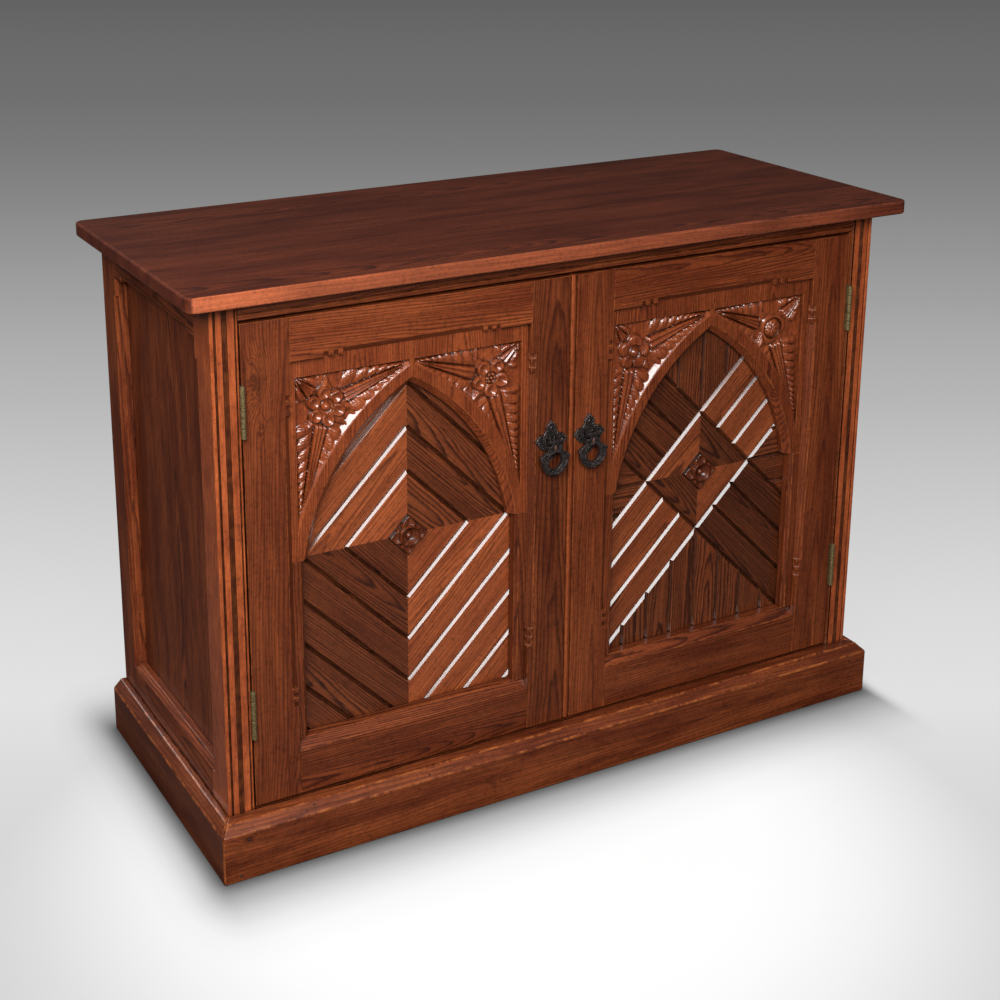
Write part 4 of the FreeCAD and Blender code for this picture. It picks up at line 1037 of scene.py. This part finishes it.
def rosette_height(u, v, turn):
    """A petal in each corner of a square, under a round cup that holds a ball."""
    high = np.full(u.shape, 0.4)
    for index in range(4):
        angle = index * math.pi / 2 + math.pi / 4
        along = u * math.cos(angle) + v * math.sin(angle)
        off = -u * math.sin(angle) + v * math.cos(angle)
        half = 12.5 * np.sqrt(np.clip(1 - ((along - 17) / 15) ** 2, 0, 1))
        share = np.abs(off) / np.maximum(half, 1e-6)
        rim = np.clip((1 - share) * half / 2.5, 0, 1) ** 0.5
        hollow = np.clip(1 - (np.hypot(along - 20, off) / 8.5) ** 2, 0, 1)
        petal = (8.6 - 0.1 * np.clip(along, 0, None) - 2.6 * hollow) * rim
        high = np.maximum(high, np.where((share < 1) & (along > 0), petal, 0))
    far = np.hypot(u, v)
    wall = 10.6 * np.clip((16.6 - far) / 1.4, 0, 1) ** 0.5
    high = np.maximum(high, wall)
    dish = 1.6 + 9.0 * np.clip((far - 7.0) / 7.6, 0, 1) ** 1.8
    high = np.where(far < 14.6, np.minimum(high, dish), high)
    high = np.maximum(high, np.where(far < 6.0, 1.8 + dome(far, 6.0, 7.4), 0))
    return high + 0.1 * np.sin(u * 1.3 + turn) * np.sin(v * 1.1)


def rosettes():
    """Carved flowers on square blocks set on their corners, with painted shade round their edges."""
    steps = 70
    edge_fall = 1.8
    edge_shade_band = 1.6
    fronts = {"left": "left_door_upper_boards", "right": "right_door_lozenge_boards"}
    for side in ("left", "right"):
        node = f"{side}_door_rosette"
        low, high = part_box(node)
        centre = rosette_middle(side)
        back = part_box(f"{side}_door_jamb_west")[1].y
        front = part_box(fronts[side])[0].y
        reach = (high.x - low.x) / 2 / math.sqrt(2) / MM
        places = np.linspace(-reach, reach, steps + 1)
        u, v = np.meshgrid(places, places)
        heights = rosette_height(u, v, 1.0 if side == "left" else 2.0)

        def spots(level):
            east = (u + v) / math.sqrt(2) * MM
            up = (v - u) / math.sqrt(2) * MM
            return centre.x + east, front - level * MM, centre.z + up

        keep = np.ones((steps, steps), bool)
        inside = reach - np.maximum(abs(u), abs(v))
        heights *= np.clip(inside / edge_fall, 0, 1) ** 0.5
        piece = slab(node + "_wood", spots, heights, keep, min(high.y, back), "Varnished frame", -0.32,
                     inside < edge_shade_band)
        settle(piece, node)


def plain(node, material, width):
    shape = lift(node)
    soften(shape, width)
    settle(put(shape, node + "_metal", material), node)


def hinges():
    for node in ("hinge_post_leaves", "left_door_hinge_leaves", "right_door_hinge_leaves", "hinge_pins"):
        plain(node, "Dull brass", HINGE_ARRIS)


def front_plane(shape):
    """Where the largest face that looks forward lies."""
    facing = [face for face in shape.faces if face.normal.y < -0.9]
    return max(facing, key=lambda face: face.calc_area()).verts[0].co.y


def outline_spots(shape, pitch, inward):
    """Places along the outline of the front, at even steps and a little inside it."""
    front = front_plane(shape)
    field = {
        face for face in shape.faces
        if face.normal.y < -0.9 and all(abs(vert.co.y - front) < NEAR for vert in face.verts)
    }
    spots = []
    for edge in shape.edges:
        inner = [face for face in edge.link_faces if face in field]
        if len(inner) != 1 or len(edge.link_faces) != 2:
            continue
        start, end = (vert.co for vert in edge.verts)
        side = (end - start).cross(Y).normalized()
        loop = [loop for loop in inner[0].loops if loop.edge == edge][0]
        ahead = loop.link_loop_next.vert.co - loop.vert.co
        side = side if ahead.cross(inner[0].normal).dot(side) < 0 else -side
        steps = max(1, round((end - start).length / (pitch * MM)))
        spots += [start.lerp(end, (index + 0.5) / steps) + side * inward * MM for index in range(steps)]
    return spots


def add_domes(shape, rows, fine=14):
    """Sets small round bosses on a surface: middle, radius across, height and radius upward."""
    ball = bmesh.new()
    bmesh.ops.create_uvsphere(ball, u_segments=fine, v_segments=fine // 2 + 1, radius=1)
    ball.verts.index_update()
    points = [vert.co.copy() for vert in ball.verts]
    corners = [[vert.index for vert in face.verts] for face in ball.faces]
    ball.free()
    for place, across, high, upward in rows:
        size = Vector((across, high, upward)) * MM
        made = [shape.verts.new(Vector(place) + point * size) for point in points]
        for each in corners:
            shape.faces.new([made[index] for index in each])


# Bosses on a plate: place across and above the pin, and radius.
PLATE_BOSSES = (
    (0, 19, 3.0), (-21, -3.5, 3.4), (21, -3.5, 3.4), (-11.5, 9, 1.9), (11.5, 9, 1.9), (-6.5, 14, 1.5),
    (6.5, 14, 1.5), (-25, 1, 1.2), (25, 1, 1.2), (-20, -10.5, 1.3), (20, -10.5, 1.3), (0, 27, 1.2),
)
# Rows of beads that follow an outline: how far inside it, step and radius.
PLATE_BEADS = ((1.3, 2.4, 1.1), (4.4, 3.2, 1.0))
RING_BEADS = ((1.4, 2.3, 1.15), (4.2, 3.0, 0.8))
# How far a tongue hangs under its pin.
TONGUE_DROP = 10.0


def chased(node, rows, high):
    """A softened copy of a node with rows of beads along its outline, and where its front lies."""
    shape = lift(node)
    front = front_plane(shape)
    beads = [
        (spot, radius, high, radius)
        for inward, pitch, radius in rows
        for spot in outline_spots(shape, pitch, inward)
    ]
    soften(shape, CRISP_ARRIS)
    add_domes(shape, beads, fine=8)
    return shape, front


def pulls():
    """Chased plates with bosses, and rings with a worn tongue, as deep as the CAD's."""
    for side in ("left", "right"):
        low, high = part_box(f"{side}_pull_pin")
        across = (low.x + high.x) / 2
        height = (low.z + high.z) / 2
        node = f"{side}_pull_plate"
        shape, front = chased(node, PLATE_BEADS, 1.3)
        add_domes(shape, [
            ((across + east * MM, front + 0.4 * MM, height + up * MM), radius, 1.6, radius)
            for east, up, radius in PLATE_BOSSES
        ])
        settle(put(shape, node + "_iron", "Black iron", smooth=40), node)
        node = f"{side}_pull_ring"
        shape = chased(node, RING_BEADS, 0.39)[0]
        settle(put(shape, node + "_iron", "Black iron", smooth=40), node)
        shape = bmesh.new()
        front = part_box(node)[0].y
        add_domes(shape, [((across, front + 0.6 * MM, height - TONGUE_DROP * MM), 2.3, 1.7, 5.5)])
        settle_on(put(shape, f"{side}_pull_tongue", "Worn copper"), node)
        plain(f"{side}_pull_pin", "Black iron", CRISP_ARRIS)


# Nails in the plinth's front: place across and above the floor, width and height.
NAILS = (
    (-570.6, 66, 2.0, 1.6), (-583.1, 25.3, 1.6, 1.5), (-584.1, 9.5, 2.1, 1.9), (-476, 83, 1.7, 1.6),
    (-461, 87, 1.7, 1.7), (-268, 83, 1.9, 1.8), (7.5, 84, 1.9, 1.8), (573.7, 66.8, 1.7, 1.7),
    (581.2, 19.4, 1.7, 1.6),
)


def nails():
    """Nail heads that hold the plinth's front, some on its chamfer."""
    low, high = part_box("plinth_front")
    foot = high.z / MM - CHAMFER_RISE
    shape = bmesh.new()
    for across, up, wide, tall in NAILS:
        back = max(up - foot, 0) * CHAMFER_DEPTH / CHAMFER_RISE
        add_domes(shape, [((across * MM, low.y + back * MM, up * MM), wide, 0.45, tall)])
    settle_on(put(shape, "plinth_nails", "Rusty nails"), "plinth_front")


# Stage

def soft_box(name, place, target, width, height, power):
    light = bpy.data.lights.new(name, "AREA")
    light.shape = "RECTANGLE"
    light.size = width
    light.size_y = height
    light.energy = power
    item = bpy.data.objects.new(name, light)
    item.location = place
    item.rotation_euler = (Vector(target) - Vector(place)).to_track_quat("-Z", "Y").to_euler()
    bpy.context.scene.collection.objects.link(item)


def pale_floor(radius, near_colour):
    """A floor that is white near the cabinet and grey far behind it, as in the photo."""
    shape = bmesh.new()
    bmesh.ops.create_circle(shape, cap_ends=True, segments=96, radius=radius)
    mesh = bpy.data.meshes.new("floor")
    shape.to_mesh(mesh)
    shape.free()
    floor = bpy.data.objects.new("floor", mesh)
    bpy.context.scene.collection.objects.link(floor)
    material, net, shader = principled("Pale floor")
    place = net.add("TexCoord").outputs["Object"]
    away = (math.sin(HEADING), math.cos(HEADING), 0.0)
    depth = net.vector("DOT_PRODUCT", place, away)
    share = net.math("DIVIDE", net.math("ADD", depth, FLOOR_START), FLOOR_SPAN)
    shade = net.ramp(share, [((at + FLOOR_START) / FLOOR_SPAN, level) for at, level in FLOOR_SHADES])
    glow = net.ramp(net.vector("DISTANCE", place, GLOW_MIDDLE), GLOW_SHADES)
    level = net.math("MULTIPLY", net.math("MAXIMUM", shade, glow), FLOOR_LEVEL)
    # Painted shadow round the plinth: ambient occlusion close by, times a soft ramp stretched beside the
    # plinth.
    painted_shadow = net.add("AmbientOcclusion", {"Distance": CONTACT_SHADOW_REACH}, samples=8).outputs["AO"]
    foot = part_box("plinth_right")[1].x, -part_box("plinth_front")[0].y, 0.0
    east = net.math("GREATER_THAN", net.add("SeparateXYZ", {0: place}).outputs[0], 0.0)
    stretch = net.math("MULTIPLY_ADD", east, RIGHT_SHARE - LEFT_SHARE, LEFT_SHARE)
    stretch = net.add("CombineXYZ", {0: stretch, 1: 1.0, 2: 0.0}).outputs[0]
    aside = net.vector("SUBTRACT", net.vector("ABSOLUTE", place), foot)
    aside = net.vector("MAXIMUM", aside, (0.0, 0.0, 0.0))
    aside = net.vector("LENGTH", net.vector("MULTIPLY", aside, stretch))
    shades = [(at / SHADOW_SPAN, left) for at, left in SHADOW_SHADES]
    painted_shadow = net.math("MULTIPLY", painted_shadow, net.ramp(net.math("DIVIDE", aside, SHADOW_SPAN), shades))
    # Painted light: for camera rays the floor glows with its brightness, the painted pool of light and the
    # painted shadow; its colour under the lamps is darkened by the same painted shadow.
    seen = net.add("LightPath").outputs["Is Camera Ray"]
    lit = net.math("MULTIPLY_ADD", seen, LAMP_SHARE - BOUNCE_SHARE, BOUNCE_SHARE)
    direct = net.math("MULTIPLY", net.math("MULTIPLY", lit, level), painted_shadow)
    spread = net.math("MULTIPLY", net.math("MULTIPLY", level, painted_shadow), seen)
    net.link(net.mix(1.0, near_colour, direct, "MULTIPLY"), shader.inputs["Base Color"])
    net.link(net.mix(1.0, 1.0, spread, "MULTIPLY"), shader.inputs["Emission Color"])
    for socket, value in (("Emission Strength", 1.0), ("Roughness", 1.0), ("Specular IOR Level", 0.0)):
        shader.inputs[socket].default_value = value
    mesh.materials.append(material)
    floor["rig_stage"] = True


def stage():
    sizes, colours = settings()
    pale_floor(sizes.floor_radius, colours.floor)
    world = bpy.data.worlds.new("Studio")
    bpy.context.scene.world = world
    world.use_nodes = True
    background = world.node_tree.nodes["Background"]
    background.inputs["Color"].default_value = (1.0, 1.0, 1.0, 1.0)
    background.inputs["Strength"].default_value = 0.07
    soft_box("main box", (-1.4, -2.05, 2.1), (0, -0.2, 0.45), 2.0, 1.05, 112)
    soft_box("back box", (-1.5, 3.2, 2.2), (0, 0.2, 0.4), 1.2, 1.2, 28)
    soft_box("front box", (0.3, -4.6, 1.6), (0, 0, 0.45), 1.2, 1.2, 25)
    camera = bpy.data.cameras.new("photo view")
    camera.lens = 60.92
    camera.sensor_width = 36.0
    camera.shift_x = 0.05
    camera.shift_y = -0.2
    item = bpy.data.objects.new("photo view", camera)
    item.location = (-1.34893, -2.30591, 1.51158)
    item.rotation_euler = (math.radians(90 - 15.939), 0, -HEADING)
    bpy.context.scene.collection.objects.link(item)
    bpy.context.scene.camera = item
    bpy.context.scene.view_settings.view_transform = "Standard"


class CABINET_OT_materials(bpy.types.Operator):
    """Makes the woods and metals"""
    bl_idname = "cabinet.materials"
    bl_label = "Materials"

    def execute(self, context):
        make_materials()
        return {"FINISHED"}


class CABINET_OT_top(bpy.types.Operator):
    """Builds the two boards of the top"""
    bl_idname = "cabinet.top"
    bl_label = "Top"

    def execute(self, context):
        top()
        return {"FINISHED"}


class CABINET_OT_posts(bpy.types.Operator):
    """Builds the reeded front posts and the rear posts"""
    bl_idname = "cabinet.posts"
    bl_label = "Posts"

    def execute(self, context):
        posts()
        return {"FINISHED"}


class CABINET_OT_side_frames(bpy.types.Operator):
    """Builds the rails and sunk panels of the sides"""
    bl_idname = "cabinet.side_frames"
    bl_label = "Side frames"

    def execute(self, context):
        side_frames()
        return {"FINISHED"}


class CABINET_OT_plinth(bpy.types.Operator):
    """Builds the plinth and the beaded rail under the top"""
    bl_idname = "cabinet.plinth"
    bl_label = "Plinth"

    def execute(self, context):
        plinth()
        return {"FINISHED"}


class CABINET_OT_inside(bpy.types.Operator):
    """Builds the floor, shelf and back"""
    bl_idname = "cabinet.inside"
    bl_label = "Inside"

    def execute(self, context):
        inside()
        return {"FINISHED"}


class CABINET_OT_door_frames(bpy.types.Operator):
    """Builds the stiles, rails and arched boards of the doors"""
    bl_idname = "cabinet.door_frames"
    bl_label = "Door frames"

    def execute(self, context):
        door_frames()
        return {"FINISHED"}


class CABINET_OT_boards(bpy.types.Operator):
    """Builds the boarded panels"""
    bl_idname = "cabinet.boards"
    bl_label = "Boards"

    def execute(self, context):
        boards()
        return {"FINISHED"}


class CABINET_OT_carvings(bpy.types.Operator):
    """Builds the carved corners above the arches"""
    bl_idname = "cabinet.carvings"
    bl_label = "Carvings"

    def execute(self, context):
        carvings()
        return {"FINISHED"}


class CABINET_OT_rosettes(bpy.types.Operator):
    """Builds the carved rosettes"""
    bl_idname = "cabinet.rosettes"
    bl_label = "Rosettes"

    def execute(self, context):
        rosettes()
        return {"FINISHED"}


class CABINET_OT_metalwork(bpy.types.Operator):
    """Builds the hinges, the ring pulls and the nails"""
    bl_idname = "cabinet.metalwork"
    bl_label = "Metalwork"

    def execute(self, context):
        hinges()
        pulls()
        nails()
        return {"FINISHED"}


class CABINET_OT_stage(bpy.types.Operator):
    """Builds the floor, lights and camera"""
    bl_idname = "cabinet.stage"
    bl_label = "Stage"

    def execute(self, context):
        stage()
        return {"FINISHED"}


OPERATORS = (
    CABINET_OT_materials, CABINET_OT_top, CABINET_OT_posts, CABINET_OT_side_frames, CABINET_OT_plinth,
    CABINET_OT_inside, CABINET_OT_door_frames, CABINET_OT_boards, CABINET_OT_carvings, CABINET_OT_rosettes,
    CABINET_OT_metalwork, CABINET_OT_stage,
)


class CABINET_PT_panel(bpy.types.Panel):
    """Lists the cabinet's sizes, colours and steps"""
    bl_idname = "CABINET_PT_panel"
    bl_label = "Cabinet"
    bl_space_type = "VIEW_3D"
    bl_region_type = "UI"
    bl_category = "Cabinet"

    def draw(self, context):
        for group in (context.scene.cabinet_sizes, context.scene.cabinet_colours):
            for name in group.bl_rna.properties.keys():
                if name not in ("rna_type", "name"):
                    self.layout.prop(group, name)
        for operator in OPERATORS:
            self.layout.operator(operator.bl_idname)


CLASSES = (CabinetSizes, CabinetColours) + OPERATORS + (CABINET_PT_panel,)


def register():
    for item in CLASSES:
        bpy.utils.register_class(item)
    bpy.types.Scene.cabinet_sizes = bpy.props.PointerProperty(type=CabinetSizes)
    bpy.types.Scene.cabinet_colours = bpy.props.PointerProperty(type=CabinetColours)


def unregister():
    del bpy.types.Scene.cabinet_colours
    del bpy.types.Scene.cabinet_sizes
    for item in reversed(CLASSES):
        bpy.utils.unregister_class(item)


def main():
    register()
    bpy.ops.cabinet.materials()
    bpy.ops.cabinet.top()
    bpy.ops.cabinet.posts()
    bpy.ops.cabinet.side_frames()
    bpy.ops.cabinet.plinth()
    bpy.ops.cabinet.inside()
    bpy.ops.cabinet.door_frames()
    bpy.ops.cabinet.boards()
    bpy.ops.cabinet.carvings()
    bpy.ops.cabinet.rosettes()
    bpy.ops.cabinet.metalwork()
    bpy.ops.cabinet.stage()
    boxes = {"cad": CAD_BOX, "visual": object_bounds()}
    {name: [list(corner) for corner in box] for name, box in boxes.items()}


if __name__ == "__main__":
    main()
